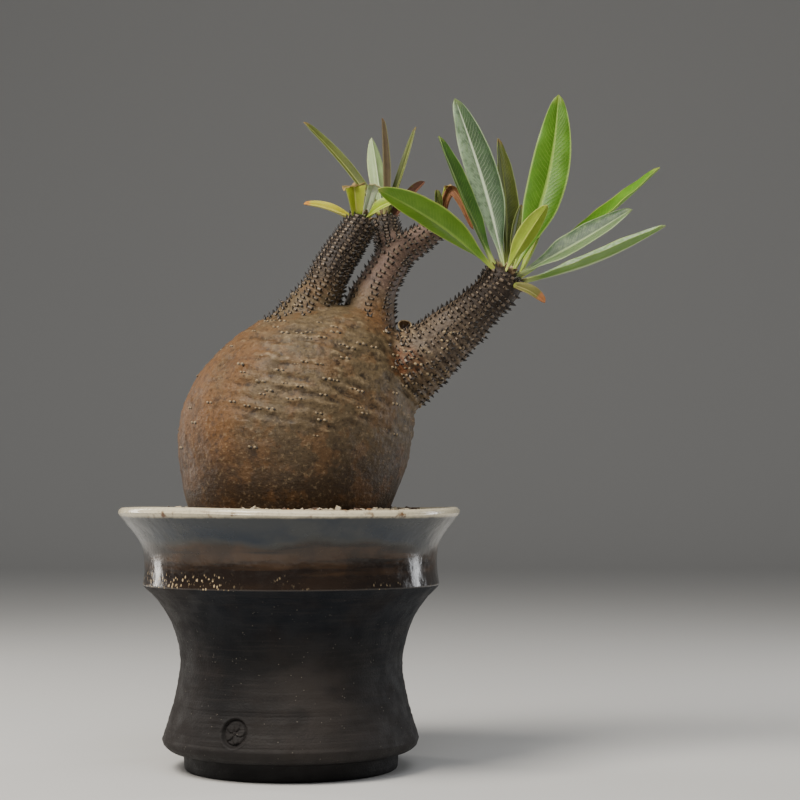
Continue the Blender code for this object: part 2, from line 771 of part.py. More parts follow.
LEFT_TIPS = {
    "leaf_left_01": ((29.8, 9.0, 193.4), (3.3, 14.0, 225.7), 4.6, 40, -0.6, 2.6, 0.30, strap),
    "leaf_left_02": ((30.4, 11.5, 193.4), (27.3, 22.0, 221.4), 5.6, 195, -1.0, 0.0, 0.15, lance),
    "leaf_left_03": ((32.0, 7.6, 193.9), (31.4, 9.0, 226.0), 3.6, 140, 0.6, 0.0, 0.30, strap),
    "leaf_left_04": ((32.6, 10.8, 192.9), (43.2, 14.0, 223.9), 3.2, -45, -0.6, 0.0, 0.30, strap),
    "leaf_left_05": ((20.2, -2.2, 188.9), (4.5, -6.0, 193.0), 4.2, 50, 1.0, 0.0, 0.28, strap),
    "leaf_left_cut": ((22.8, -6.5, 190.7), (21.6, -8.5, 199.6), 8.4, 15, 0.6, 0.0, 0.30, cut),
    "leaf_left_stub": ((26.2, -1.5, 190.6), (28.2, -2.5, 198.8), 4.6, 20, 0.0, 0.0, 0.12, cut),
    "leaf_left_06": ((26.8, -5.5, 189.0), (37.0, -10.0, 193.6), 4.6, -40, 1.2, 0.0, 0.25, lance),
    "leaf_left_dry": ((35.0, 12.8, 191.2), (46.4, 16.0, 204.6), 4.4, -35, 0.6, 0.0, 0.40, strap),
}
THIRD_TIP = {
    "leaf_third_01": ((50.6, 2.6, 193.6), (50.2, 1.0, 199.0), 3.4, 30, 1.0, 0.0, 0.35, strap),
    "leaf_third_02": ((53.2, 8.0, 193.6), (55.2, 8.6, 202.0), 4.2, 15, -0.6, 0.0, 0.35, cut),
}

# The withered leaf of the third tip, which bends over and hangs down
DRY_CURL = [
    (54.6, 4.6, 192.4),
    (55.8, 3.8, 199.0),
    (58.0, 3.0, 202.0),
    (61.0, 1.6, 198.0),
    (65.2, 0.0, 187.6),
]
DRY_CURL_WIDTH = 4.0
DRY_CURL_TURN = 20
DRY_CURL_FOLD = 0.25

# Each table of leaves with the tips that they may grow from
CLUSTERS = (
    (RIGHT_ROSETTE, [RIGHT_BRANCH]),
    (LEFT_TIPS, [LEFT_BRANCH, BACK_FORK]),
    (THIRD_TIP, [MIDDLE_BRANCH]),
)


def blade_section(centre, side, up, half, rib, fold, across):
    """A blade's closed outline across its length: folded at the midrib, which is its thickest place."""
    top = []
    bottom = []
    for place in across:
        rise = abs(place) * half * fold * 2 + BLADE_CROWN * math.sin(math.pi * abs(place)) * half
        point = centre + side * half * place + up * rise
        top.append(point + up * BLADE_THICKNESS / 2)
        bottom.append(point - up * (BLADE_THICKNESS / 2 if place else rib))
    return top + bottom[::-1]


def blade_axes(ahead, turn):
    """A blade's direction to its right and out of its upper face, which looks to the front at no turn."""
    side = Vector((0, 1, 0)).cross(ahead).normalized()
    side.rotate(Matrix.Rotation(math.radians(turn), 3, ahead))
    return side, side.cross(ahead).normalized()


def blade_along(path, width, turn, fold, outline, stations):
    """Sections of a blade at even stations on a path of points."""
    across = (-1, -0.5, 0, 0.5, 1) if width > WIDE_BLADE else (-1, 0, 1)
    sections = []
    for i in range(stations + 1):
        t = i / stations
        place = t * (len(path) - 1)
        low = min(int(place), len(path) - 2)
        centre = path[low].lerp(path[low + 1], place - low)
        side, up = blade_axes((path[low + 1] - path[low]).normalized(), turn)
        rib = max(MIDRIB_THICKNESS * (1 - MIDRIB_TAPER * t) - BLADE_THICKNESS / 2, BLADE_THICKNESS / 2)
        sections.append(blade_section(centre, side, up, width / 2 * outline(t), rib, fold, across))
    return sections


def blade_faces(sections):
    """Faces round a blade, whose upper and under face are split into triangles the same way."""
    around = len(sections[0])
    last = around * (len(sections) - 1)
    faces = []
    for start in range(0, last, around):
        for j in range(around):
            a, b = start + j, start + (j + 1) % around
            c, d = b + around, a + around
            on_top = j < around // 2 - 1
            faces += [(a, b, c), (a, c, d)] if on_top else [(a, b, d), (b, c, d)]
    for j in range(around // 2 - 1):
        under = around - 1 - j
        faces.append((j, under, under - 1, j + 1))
        faces.append((last + j, last + j + 1, last + under - 1, last + under))
    return faces


def arched(root, tip, turn, bow, sway):
    """A path from root to tip that bows along the blade's face and sways across it."""
    side, up = blade_axes((tip - root).normalized(), turn)
    path = []
    for i in range(PATH_STEPS + 1):
        t = i / PATH_STEPS
        path.append(root.lerp(tip, t) + (up * bow + side * sway) * math.sin(math.pi * t))
    return path


def seat(sections, tree, branch):
    """The move, straight out of its growing tip, that ends a leaf's root a narrow gap above the skin."""
    heart = Vector(branch[-1][:3]) - growing_direction(branch) * branch[-1][3]
    root = sum(sections[0], Vector()) / len(sections[0])
    out = (root - heart).normalized()
    heights = []
    for point in sections[0] + sections[1]:
        place, _ = surface_hit(tree, point + out * SEAT_REACH, -out)
        if place:
            heights.append((point - place).dot(out))
    return out * (GAP - min(heights))


def make_leaf(name, sections, material, parent):
    points = [point for section in sections for point in section]
    leaf = add_object(name, mesh_from(name, points, blade_faces(sections)), material, parent)
    finish(leaf, 60)
    return leaf


def make_leaves(tree, materials, parent):
    leaves = []
    for leaf_table, branches in CLUSTERS:
        for name, (root, tip, width, turn, bow, sway, fold, outline) in leaf_table.items():
            root, tip = Vector(root), Vector(tip)
            branch = min(branches, key=lambda b: (Vector(b[-1][:3]) - root).length)
            stations = LEAF_STATIONS if (tip - root).length > LONG_LEAF else STUB_STATIONS
            path = arched(root, tip, turn, bow, sway)
            sections = blade_along(path, width, turn, fold, outline, stations)
            shift = seat(sections, tree, branch)
            for i, section in enumerate(sections):
                sections[i] = [point + shift * (1 - i / stations) for point in section]
            leaves.append(make_leaf(name, sections, leaf_material(name, materials), parent))
    leaves.append(make_dry_curl(tree, materials["leaf_dry"], parent))
    return leaves


def make_dry_curl(tree, material, parent):
    path = [Vector(p) for p in smooth_run(DRY_CURL, 4)]
    sections = blade_along(path, DRY_CURL_WIDTH, DRY_CURL_TURN, DRY_CURL_FOLD, strap, LEAF_STATIONS)
    shift = seat(sections, tree, MIDDLE_BRANCH)
    sections = [[point + shift for point in section] for section in sections]
    return make_leaf("leaf_third_dry", sections, material, parent)


def leaf_material(name, materials):
    if "dry" in name:
        return materials["leaf_dry"]
    if name in YELLOW_LEAVES:
        return materials["leaf_yellow"]
    if "left" in name:
        return materials["leaf_olive"]
    return materials["leaf_green"]


def main():
    clear_scene()
    bpy.context.scene.unit_settings.system = "METRIC"
    materials = make_materials()
    plant = add_object("plant_place", None)
    plant.location = Vector((PLANT_X, PLANT_Y, 0)) * MM
    make_pot(materials["stoneware"], plant)
    make_drain_net(materials["net_plastic"], plant)
    make_soil(materials["grit"], plant)
    skin = make_skin()
    tree = mesh_tree([skin.data])
    leaves = make_leaves(tree, materials, plant)
    grow_spines(skin, tree, mesh_tree([leaf.data for leaf in leaves]))
    skin.data.materials.clear()
    skin.data.materials.append(materials["bark"])
    finish(skin, 35)
    skin.parent = plant


main()
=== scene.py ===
# %% [markdown]
# # A potted pachypodium, dressed for its portrait
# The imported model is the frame: pot, soil, plant body and leaves at their real size, with plain surfaces and few
# triangles. Here each of them gets a finer piece of the same form, and the finish of the real thing. The frame is
# loaded first, because every piece has to stay inside its box.

# %% The frame
import json
import math
import random

import bmesh
import bpy
from mathutils import Matrix, Vector, noise
from mathutils.bvhtree import BVHTree

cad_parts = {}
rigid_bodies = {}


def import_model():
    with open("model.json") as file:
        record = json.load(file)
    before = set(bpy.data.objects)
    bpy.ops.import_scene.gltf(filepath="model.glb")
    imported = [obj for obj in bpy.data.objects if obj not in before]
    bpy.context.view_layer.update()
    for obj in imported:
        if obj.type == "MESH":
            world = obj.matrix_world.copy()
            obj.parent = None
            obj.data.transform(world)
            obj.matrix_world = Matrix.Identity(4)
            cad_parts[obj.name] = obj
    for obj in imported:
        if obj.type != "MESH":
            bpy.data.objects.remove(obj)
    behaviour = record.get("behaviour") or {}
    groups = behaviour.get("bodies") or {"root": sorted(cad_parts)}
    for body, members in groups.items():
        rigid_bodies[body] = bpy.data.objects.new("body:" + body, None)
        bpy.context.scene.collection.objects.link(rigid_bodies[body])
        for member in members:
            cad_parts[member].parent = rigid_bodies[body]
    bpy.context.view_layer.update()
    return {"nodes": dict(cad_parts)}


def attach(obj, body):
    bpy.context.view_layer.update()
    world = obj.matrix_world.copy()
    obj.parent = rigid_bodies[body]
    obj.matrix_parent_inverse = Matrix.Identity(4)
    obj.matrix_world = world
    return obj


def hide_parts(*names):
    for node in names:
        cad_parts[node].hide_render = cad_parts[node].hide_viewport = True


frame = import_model()

# %% [markdown]
# ## Camera, floor and light
# A long lens, a little above the pot's rim and tilted up, flattens the plant as in a product picture. The floor is
# plain and pale, and curves up far behind. One big soft lamp above on the left models the round caudex. Two tall strips,
# a little behind the plant on either side, draw the upright reflections in the glazed collar and edge the leaves.

# %% Camera
MM = 0.001
CAMERA_PLACE = (2.1, -621.0, 90.9)
CAMERA_TILT_UP = 3.2
LENS = 81.0


def make_camera():
    camera = bpy.data.objects.new("camera", bpy.data.cameras.new("camera"))
    bpy.context.scene.collection.objects.link(camera)
    camera.data.lens = LENS
    camera.data.sensor_width = 36.0
    camera.data.clip_start = 0.05
    camera.location = Vector(CAMERA_PLACE) * MM
    camera.rotation_euler = (math.radians(90 + CAMERA_TILT_UP), 0, 0)
    bpy.context.scene.camera = camera
    print("camera:", LENS, "mm lens,", -CAMERA_PLACE[1], "mm from the plant")


make_camera()

# %% Floor and lamps
FLOOR_COLOUR = (0.62, 0.61, 0.59, 1.0)
AIR_COLOUR = (0.62, 0.64, 0.67, 1.0)
AIR_STRENGTH = 0.22
LAMPS = {
    "key from above": ((-400, -430, 820), (420, 420), 12.5, (1.0, 0.95, 0.87)),
    "strip on the left": ((-600, 330, 210), (110, 520), 1.6, (1.0, 0.96, 0.9)),
    "strip on the right": ((640, 300, 210), (110, 520), 1.6, (0.95, 0.97, 1.0)),
    "soft front": ((160, -620, 1000), (600, 600), 3.4, (0.95, 0.97, 1.0)),
}
LAMP_AIM = Vector((0, 0, 120))


def make_floor():
    """One sheet: a level floor that curves up into a wall well behind the plant."""
    half, back, radius = 4.0, 1.8, 0.9
    profile = [(-half, 0.0), (-1.0, 0.0), (0.0, 0.0), (back - 0.4, 0.0)]
    for step in range(13):
        angle = math.pi / 2 * step / 12
        profile.append((back + radius * math.sin(angle), radius * (1 - math.cos(angle))))
    profile.append((back + radius, 4.5))
    points, faces = [], []
    for y, z in profile:
        points += [(-half, y, z), (half, y, z)]
    for i in range(len(profile) - 1):
        faces.append((2 * i, 2 * i + 1, 2 * i + 3, 2 * i + 2))
    mesh = bpy.data.meshes.new("floor")
    mesh.from_pydata(points, [], faces)
    mesh.shade_smooth()
    floor = bpy.data.objects.new("floor", mesh)
    bpy.context.scene.collection.objects.link(floor)
    material = bpy.data.materials.new("plain floor")
    material.use_nodes = True
    shader = material.node_tree.nodes["Principled BSDF"]
    shader.inputs["Base Color"].default_value = FLOOR_COLOUR
    shader.inputs["Roughness"].default_value = 0.9
    mesh.materials.append(material)


def make_lamps():
    for name, (place, size, power, colour) in LAMPS.items():
        lamp = bpy.data.objects.new(name, bpy.data.lights.new(name, "AREA"))
        lamp.data.shape = "RECTANGLE"
        lamp.data.size, lamp.data.size_y = size[0] * MM, size[1] * MM
        lamp.data.energy = power
        lamp.data.color = colour
        lamp.location = Vector(place) * MM
        aim = (LAMP_AIM - Vector(place)).normalized()
        lamp.rotation_euler = aim.to_track_quat("-Z", "Y").to_euler()
        bpy.context.scene.collection.objects.link(lamp)
    world = bpy.data.worlds.new("studio air")
    bpy.context.scene.world = world
    world.use_nodes = True
    world.node_tree.nodes["Background"].inputs["Color"].default_value = AIR_COLOUR
    world.node_tree.nodes["Background"].inputs["Strength"].default_value = AIR_STRENGTH
    print("lamps:", ", ".join(LAMPS))


make_floor()
make_lamps()

# %% [markdown]
# ## Tools for shapes
# Sizes are written in millimetres from the plant's own axis, as a maker would measure them, and turned into the
# frame's metres when a mesh is made. A smooth curve through a few measured points gives every profile and path.

# %% Points, curves and pieces
PLANT_X = -35.5


def in_frame(place):
    """Millimetres from the plant's axis, as metres in the part's frame."""
    return Vector((place[0] + PLANT_X, place[1], place[2])) * MM


def from_frame(place):
    return Vector((place[0] / MM - PLANT_X, place[1] / MM, place[2] / MM))


def smooth_run(points, steps):
    """Points on a smooth curve through the given ones, which may have any number of coordinates."""
    run = []
    last = len(points) - 1
    for i in range(last):
        corners = (points[max(i - 1, 0)], points[i], points[i + 1], points[min(i + 2, last)])
        for step in range(steps):
            run.append(tuple(curve_value(*values, step / steps) for values in zip(*corners)))
    run.append(tuple(points[last]))
    return run


def curve_value(before, start, end, after, t):
    slope = end - before
    bend = 2 * before - 5 * start + 4 * end - after
    twist = 3 * (start - end) + after - before
    return start + (slope * t + bend * t ** 2 + twist * t ** 3) / 2


def ease(low, high, value):
    """0 below low, 1 above high, and a soft step between."""
    t = min(max((value - low) / (high - low), 0.0), 1.0)
    return t * t * (3 - 2 * t)


def bell(value, middle, width):
    return math.exp(-((value - middle) / width) ** 2)


def grain_noise(place, size):
    """Smooth noise between about -1 and 1, whose lumps are as wide as the size in millimetres."""
    return noise.noise(Vector(place) / size)


def add_piece(name, points, faces, materials=()):
    mesh = bpy.data.meshes.new(name)
    mesh.from_pydata([in_frame(p) for p in points], [], faces)
    piece = bpy.data.objects.new(name, mesh)
    bpy.context.scene.collection.objects.link(piece)
    for material in materials:
        mesh.materials.append(material)
    return piece


def settle(piece):
    """Applies an object's modifiers to its mesh."""
    depsgraph = bpy.context.evaluated_depsgraph_get()
    mesh = bpy.data.meshes.new_from_object(piece.evaluated_get(depsgraph))
    piece.modifiers.clear()
    piece.data = mesh


def finish_mesh(piece, sharp=50):
    """Faces outwards, shaded smooth apart from edges sharper than the angle."""
    shape = bmesh.new()
    shape.from_mesh(piece.data)
    bmesh.ops.recalc_face_normals(shape, faces=shape.faces)
    shape.to_mesh(piece.data)
    shape.free()
    piece.data.shade_smooth()
    piece.data.set_sharp_from_angle(angle=math.radians(sharp))


def store(mesh, name, values, kind="FLOAT"):
    """Keeps a value for each point of a mesh, which a material or a node tree reads by name."""
    layer = mesh.attributes.new(name, kind, "POINT")
    for item, value in zip(layer.data, values):
        if kind == "FLOAT":
            item.value = value
        else:
            item.vector = value


def triangles(piece):
    piece.data.calc_loop_triangles()
    return len(piece.data.loop_triangles)


def hand_over(piece, *nodes, slot=None):
    """The finished piece rides with the part and stands for its nodes."""
    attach(piece, "root")
    if nodes:
        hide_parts(*nodes)
    print(piece.name + ":", triangles(piece), "triangles")


# %% [markdown]
# ## Tools for finishes
# Every finish is a Principled shader fed by a few patterns in Object coordinates, so that a pattern has the size of the
# real one and goes right through a piece. A small class keeps the recipes short: each call adds a node and hands back
# its output.

# %% Finish recipes
def paint(red, green, blue):
    """A colour as a paint chart gives it, 0 to 255, as the linear one that the shader takes."""
    linear = []
    for value in (red, green, blue):
        share = value / 255
        linear.append(share / 12.92 if share <= 0.04045 else ((share + 0.055) / 1.055) ** 2.4)
    return (*linear, 1.0)


def add_node(tree, kind, settings=None, inputs=None):
    """A node with its options and inputs, which are values or other nodes' outputs."""
    node = tree.nodes.new(kind)
    for key, value in (settings or {}).items():
        setattr(node, key, value)
    for key, value in (inputs or {}).items():
        socket = node.inputs[key] if isinstance(key, int) else next(
            s for s in node.inputs if s.name == key and s.enabled)
        if isinstance(value, bpy.types.NodeSocket):
            tree.links.new(value, socket)
        else:
            socket.default_value = value
    return node


def output_of(node, name=None):
    return next(s for s in node.outputs if s.enabled and (name is None or s.name == name))


class Finish:
    """A material being mixed. Patterns are sized in millimetres."""

    def __init__(self, name):
        self.material = bpy.data.materials.new(name)
        self.material.use_nodes = True
        self.tree = self.material.node_tree
        self.shader = self.tree.nodes["Principled BSDF"]
        self.places = self.add("ShaderNodeTexCoord", name="Object")

    def add(self, kind, settings=None, inputs=None, name=None):
        return output_of(add_node(self.tree, kind, settings, inputs), name)

    def stretched(self, x, y, z):
        return self.add("ShaderNodeVectorMath", {"operation": "MULTIPLY"}, {0: self.places, 1: (x, y, z)})

    def cloud(self, size, detail=3.0, rough=0.55, places=None, bend=0.0):
        """Soft noise, about 0.3 to 0.7."""
        inputs = {"Vector": places or self.places, "Scale": 1 / (size * MM), "Detail": detail,
                  "Roughness": rough, "Distortion": bend}
        return self.add("ShaderNodeTexNoise", None, inputs, "Fac")

    def cells(self, size, places=None, kind="F1", out="Distance", random=1.0):
        """Distance to scattered points, 0 at each of them."""
        inputs = {"Vector": places or self.places, "Scale": 1 / (size * MM), "Randomness": random}
        return self.add("ShaderNodeTexVoronoi", {"feature": kind}, inputs, out)

    def step(self, value, low, high, start=0.0, end=1.0):
        """Goes softly from start to end as the value goes from low to high."""
        inputs = {"Value": value, "From Min": low, "From Max": high, "To Min": start, "To Max": end}
        return self.add("ShaderNodeMapRange", {"interpolation_type": "SMOOTHSTEP"}, inputs)

    def maths(self, operation, a, b=0.0, c=0.0):
        return self.add("ShaderNodeMath", {"operation": operation}, {0: a, 1: b, 2: c})

    def mix(self, share, a, b, blend="MIX"):
        inputs = {0: share, 6: a, 7: b}
        settings = {"data_type": "RGBA", "blend_type": blend}
        node = add_node(self.tree, "ShaderNodeMix", settings, inputs)
        return node.outputs[2]

    def attribute(self, name, out="Fac"):
        return self.add("ShaderNodeAttribute", {"attribute_name": name}, None, out)

    def axis(self, letter, places=None):
        parts = add_node(self.tree, "ShaderNodeSeparateXYZ", None, {0: places or self.places})
        return parts.outputs[letter]

    def near(self, place, inner, outer):
        """1 close to a place, 0 further off; place in millimetres from the plant's axis."""
        away = self.add("ShaderNodeVectorMath", {"operation": "DISTANCE"}, {0: self.places, 1: in_frame(place)},
                        "Value")
        return self.step(away, inner * MM, outer * MM, 1.0, 0.0)

    def bump(self, height, depth, after=None):
        inputs = {"Height": height, "Strength": 1.0, "Distance": depth * MM}
        if after:
            inputs["Normal"] = after
        return self.add("ShaderNodeBump", None, inputs)

    def use(self, **inputs):
        """Sets the shader's sockets, whose names are given in small letters with underscores."""
        names = {s.name.lower().replace(" ", "_").replace(".", ""): s for s in self.shader.inputs}
        for key, value in inputs.items():
            if isinstance(value, bpy.types.NodeSocket):
                self.tree.links.new(value, names[key])
            else:
                names[key].default_value = value
        return self.material


# %% [markdown]
# ## Growing what repeats
# Spines, scars and grit are each one small shape many times over, so Geometry Nodes place them: a tree takes a carrier
# and a shape, sets points on it, instances the shape there and makes it all real. The result is copied into a plain
# mesh, and the modifier goes.

# %% Node trees that grow things
def new_tree(name, sockets):
    """A geometry tree with a Geometry input and output, and the named inputs given."""
    tree = bpy.data.node_groups.new(name, "GeometryNodeTree")
    tree.interface.new_socket("Geometry", in_out="INPUT", socket_type="NodeSocketGeometry")
    tree.interface.new_socket("Geometry", in_out="OUTPUT", socket_type="NodeSocketGeometry")
    for label, kind in sockets.items():
        tree.interface.new_socket(label, in_out="INPUT", socket_type="NodeSocket" + kind)
    entry = tree.nodes.new("NodeGroupInput")
    return tree, {s.name: s for s in entry.outputs if s.name}


def close_tree(tree, grown, material):
    """Ends a tree: everything real, with its material."""
    real = add_node(tree, "GeometryNodeRealizeInstances", None, {"Geometry": grown})
    dressed = add_node(tree, "GeometryNodeSetMaterial", None, {"Geometry": real.outputs[0], "Material": material})
    tree.links.new(dressed.outputs[0], tree.nodes.new("NodeGroupOutput").inputs[0])


def grow(name, carrier, tree, values):
    """Runs a tree on a carrier and returns what grew as a plain mesh piece."""
    modifier = carrier.modifiers.new(name, "NODES")
    modifier.node_group = tree
    for item in tree.interface.items_tree:
        if item.in_out == "INPUT" and item.name in values:
            modifier[item.identifier] = values[item.name]
    depsgraph = bpy.context.evaluated_depsgraph_get()
    mesh = bpy.data.meshes.new_from_object(carrier.evaluated_get(depsgraph))
    carrier.modifiers.remove(modifier)
    piece = bpy.data.objects.new(name, mesh)
    bpy.context.scene.collection.objects.link(piece)
    return piece


def loose_shape(name, points, faces, **values):
    """A shape in millimetres round the origin, for a tree to instance; removed when the growing is done."""
    mesh = bpy.data.meshes.new(name)
    mesh.from_pydata([Vector(p) * MM for p in points], [], faces)
    mesh.shade_smooth()
    for key, numbers in values.items():
        store(mesh, key, numbers)
    shape = bpy.data.objects.new(name, mesh)
    bpy.context.scene.collection.objects.link(shape)
    return shape


# %% [markdown]
# ## The pot
# A hand-thrown stoneware pot. The frame has its profile with 36 sides; here the same profile is turned with many more,
# drifting and rippling a little as a hand-made pot does, with the throwing lines that the fingers leave in the raw
# clay. The potter's round seal low on the front is replaced by a plain flower of the builder's own: the grid of the
# wall is finer there, so that the dent is real.

# %% Profile of the pot
POT_X = 0.5
LIP_RADIUS = 58.2
LIP_HEIGHT = 88.4
LIP_THICKNESS = 3.4
LIP_SHIFT = -0.8
LIP_OVAL = 0.004
SHOULDER_RADIUS = 50.6
SHOULDER_HEIGHT = 62.4
WAIST_RADIUS = 37.9
WAIST_HEIGHT = 36.8
BELLY_RADIUS = 43.8
BELLY_HEIGHT = 10.4
FOOT_RADIUS = 36.6
FOOT_HEIGHT = 5.2
FOOT_RING_WIDTH = 6.0
FOOT_RECESS = 3.2
FLOOR_HEIGHT = 9.0
WALL = 5.0
DRAIN_RADIUS = 8.0


def pot_outline():
    """(radius, height) points round the wall: lip, outside, foot, underside, floor and inside."""
    lip_middle, lip_half = LIP_RADIUS - LIP_THICKNESS / 2, LIP_THICKNESS / 2
    lip = []
    for turn in range(170, -20, -20):
        angle = math.radians(turn)
        lip.append((lip_middle + lip_half * math.cos(angle), LIP_HEIGHT - 1.6 + 1.6 * math.sin(angle)))
    flare = smooth_run([(LIP_RADIUS, LIP_HEIGHT - 1.9), (55.9, 83.4), (52.8, 79.6), (50.7, 75.8), (50.0, 71.5),
                        (50.1, 66.5), (SHOULDER_RADIUS, SHOULDER_HEIGHT + 0.5)], 9)
    edge = [(SHOULDER_RADIUS, SHOULDER_HEIGHT - 0.1), (SHOULDER_RADIUS - 0.35, SHOULDER_HEIGHT - 0.7)]
    body = smooth_run([(SHOULDER_RADIUS - 1.1, SHOULDER_HEIGHT - 1.5), (45.4, 56.6), (40.7, 48.6),
                       (WAIST_RADIUS, WAIST_HEIGHT), (39.7, 24.2), (BELLY_RADIUS, BELLY_HEIGHT)], 16)
    foot = smooth_run([(BELLY_RADIUS - 0.2, 9.6), (BELLY_RADIUS - 0.9, 8.2), (BELLY_RADIUS - 3.0, 6.6),
                       (FOOT_RADIUS + 0.6, FOOT_HEIGHT + 0.6), (FOOT_RADIUS, FOOT_HEIGHT - 0.6),
                       (FOOT_RADIUS - 0.3, 0.8), (FOOT_RADIUS - 1.0, 0.0)], 3)
    ring_inside = FOOT_RADIUS - FOOT_RING_WIDTH
    under = [(ring_inside, 0.0), (ring_inside - 0.8, FOOT_RECESS), (DRAIN_RADIUS + 0.4, FOOT_RECESS),
             (DRAIN_RADIUS, FOOT_RECESS + 0.4), (DRAIN_RADIUS, FLOOR_HEIGHT)]
    inside = smooth_run([(BELLY_RADIUS - WALL - 2.6, FLOOR_HEIGHT), (BELLY_RADIUS - WALL - 1.2, FLOOR_HEIGHT + 5.0),
                         (39.7 - WALL, 24.2), (WAIST_RADIUS - WALL, WAIST_HEIGHT), (40.7 - WALL, 48.0),
                         (SHOULDER_RADIUS - WALL - 4.2, 56.0), (SHOULDER_RADIUS - WALL - 0.6, SHOULDER_HEIGHT),
                         (50.0 - WALL, 71.5), (47.4, 77.4), (51.4, 82.8)], 2)
    return lip + flare + edge + body + foot + under + inside


print("pot profile:", len(pot_outline()), "points")

# %% Turning the pot, with throwing lines and the seal
POT_STEP = 1.6
SEAL_ANGLE = 247.3
SEAL_HEIGHT = 16.3
SEAL_RADIUS = 4.5
SEAL_DEPTH = 0.65
SEAL_MARGIN = 9.0
SEAL_STEP = 0.4
PETALS = 5


def pot_angles():
    """Angles round the pot in degrees, closer together across the seal."""
    angles = []
    angle = 0.0
    while angle < 360 - POT_STEP / 2:
        angles.append(angle)
        close = abs(angle + POT_STEP / 2 - SEAL_ANGLE) < SEAL_MARGIN
        angle += SEAL_STEP if close else POT_STEP
    return angles


def seal_relief(across, up):
    """Height of the impressed flower at a place on the wall, measured from its middle."""
    away = math.hypot(across, up)
    if away > SEAL_RADIUS * 1.35:
        return 0.0
    petal = abs(math.cos(math.atan2(up, across) * PETALS / 2)) ** 0.7 * SEAL_RADIUS * 0.78
    dish = -SEAL_DEPTH * (1 - ease(SEAL_RADIUS - 0.4, SEAL_RADIUS + 0.15, away))
    groove = -0.55 * bell(away, SEAL_RADIUS - 0.55, 0.35)
    lip = 0.14 * bell(away, SEAL_RADIUS + 0.5, 0.35)
    flower = 0.5 * (1 - ease(petal - 0.35, petal + 0.1, away)) * ease(0.55, 0.95, away)
    heart = 0.5 * (1 - ease(0.35, 0.7, away))
    return dish + groove + lip + flower + heart


def pot_ripple(angle, height):
    """How far the wall stands out: slow waves of the hand, and throwing lines in the raw clay."""
    turn = Vector((math.cos(angle), math.sin(angle), 0))
    wave = noise.noise(turn * 1.1 + Vector((0, 0, height / 30))) * 0.35
    lines = noise.noise(turn * 0.5 + Vector((7, 0, height / 1.5))) * 0.16
    fine = noise.noise(turn * 0.7 + Vector((0, 9, height / 0.7))) * 0.07
    return wave + (lines + fine) * (1 - ease(59, 62, height))


def make_pot():
    outline = pot_outline()
    angles = [math.radians(a) for a in pot_angles()]
    with_seal = []
    for r, z in outline:
        with_seal.append((r, z))
    rows = []
    for i, (r, z) in enumerate(with_seal):
        following = with_seal[(i + 1) % len(with_seal)]
        outside_wall = r > WAIST_RADIUS and 9 < z < 24 and following[1] < z
        pieces = 6 if outside_wall else 1
        for k in range(pieces):
            share = k / pieces
            rows.append((r + (following[0] - r) * share, z + (following[1] - z) * share))
    points = []
    for i, (r, z) in enumerate(rows):
        share = ease(SHOULDER_HEIGHT, LIP_HEIGHT, z)
        outside = i < len(rows) - 40
        for angle in angles:
            radius = r * (1 + LIP_OVAL * share * math.cos(2 * angle))
            if r > DRAIN_RADIUS + 1 and z > 0.5:
                radius += pot_ripple(angle, z) * (1.0 if outside else 0.0)
            if 8 < z < 26 and r > WAIST_RADIUS:
                off = angle - math.radians(SEAL_ANGLE)
                radius += seal_relief(off * r, z - SEAL_HEIGHT)
            lift = 0.35 * math.sin(2 * angle + 0.6) + 0.22 * math.sin(3 * angle + 2.0)
            height = z + lift * ease(74, LIP_HEIGHT, z)
            x = POT_X + LIP_SHIFT * share + radius * math.cos(angle)
            points.append((x, radius * math.sin(angle), height))
    count, around = len(rows), len(angles)
    faces = []
    for i in range(count):
        for j in range(around):
            k, n = (j + 1) % around, (i + 1) % count
            faces.append((i * around + j, i * around + k, n * around + k, n * around + j))
    return add_piece("pot_stoneware", points, faces)


pot = make_pot()
finish_mesh(pot, 60)
print("pot:", triangles(pot), "triangles")

# %% [markdown]
# ## Glaze and raw clay
# The lip is dipped in a cream glaze that thins to brown on its edge. Below it the glaze pools blue-grey, then runs
# amber and olive over the dark clay down to the shoulder, where it breaks into beige flecks. Under the shoulder the
# clay is bare, nearly black and matt, with lines from the fingers and light grit. Glaze and clay are two materials,
# since only one has a glassy coat.

# %% Glaze
LIP_CREAM = paint(218, 206, 176)
LIP_BROWN = paint(112, 76, 44)
GLAZE_BLUE = paint(18, 33, 48)
GLAZE_FOG = paint(72, 72, 66)
GLAZE_AMBER = paint(66, 48, 32)
GLAZE_DARK = paint(32, 24, 19)
FLECK_BEIGE = paint(190, 168, 132)


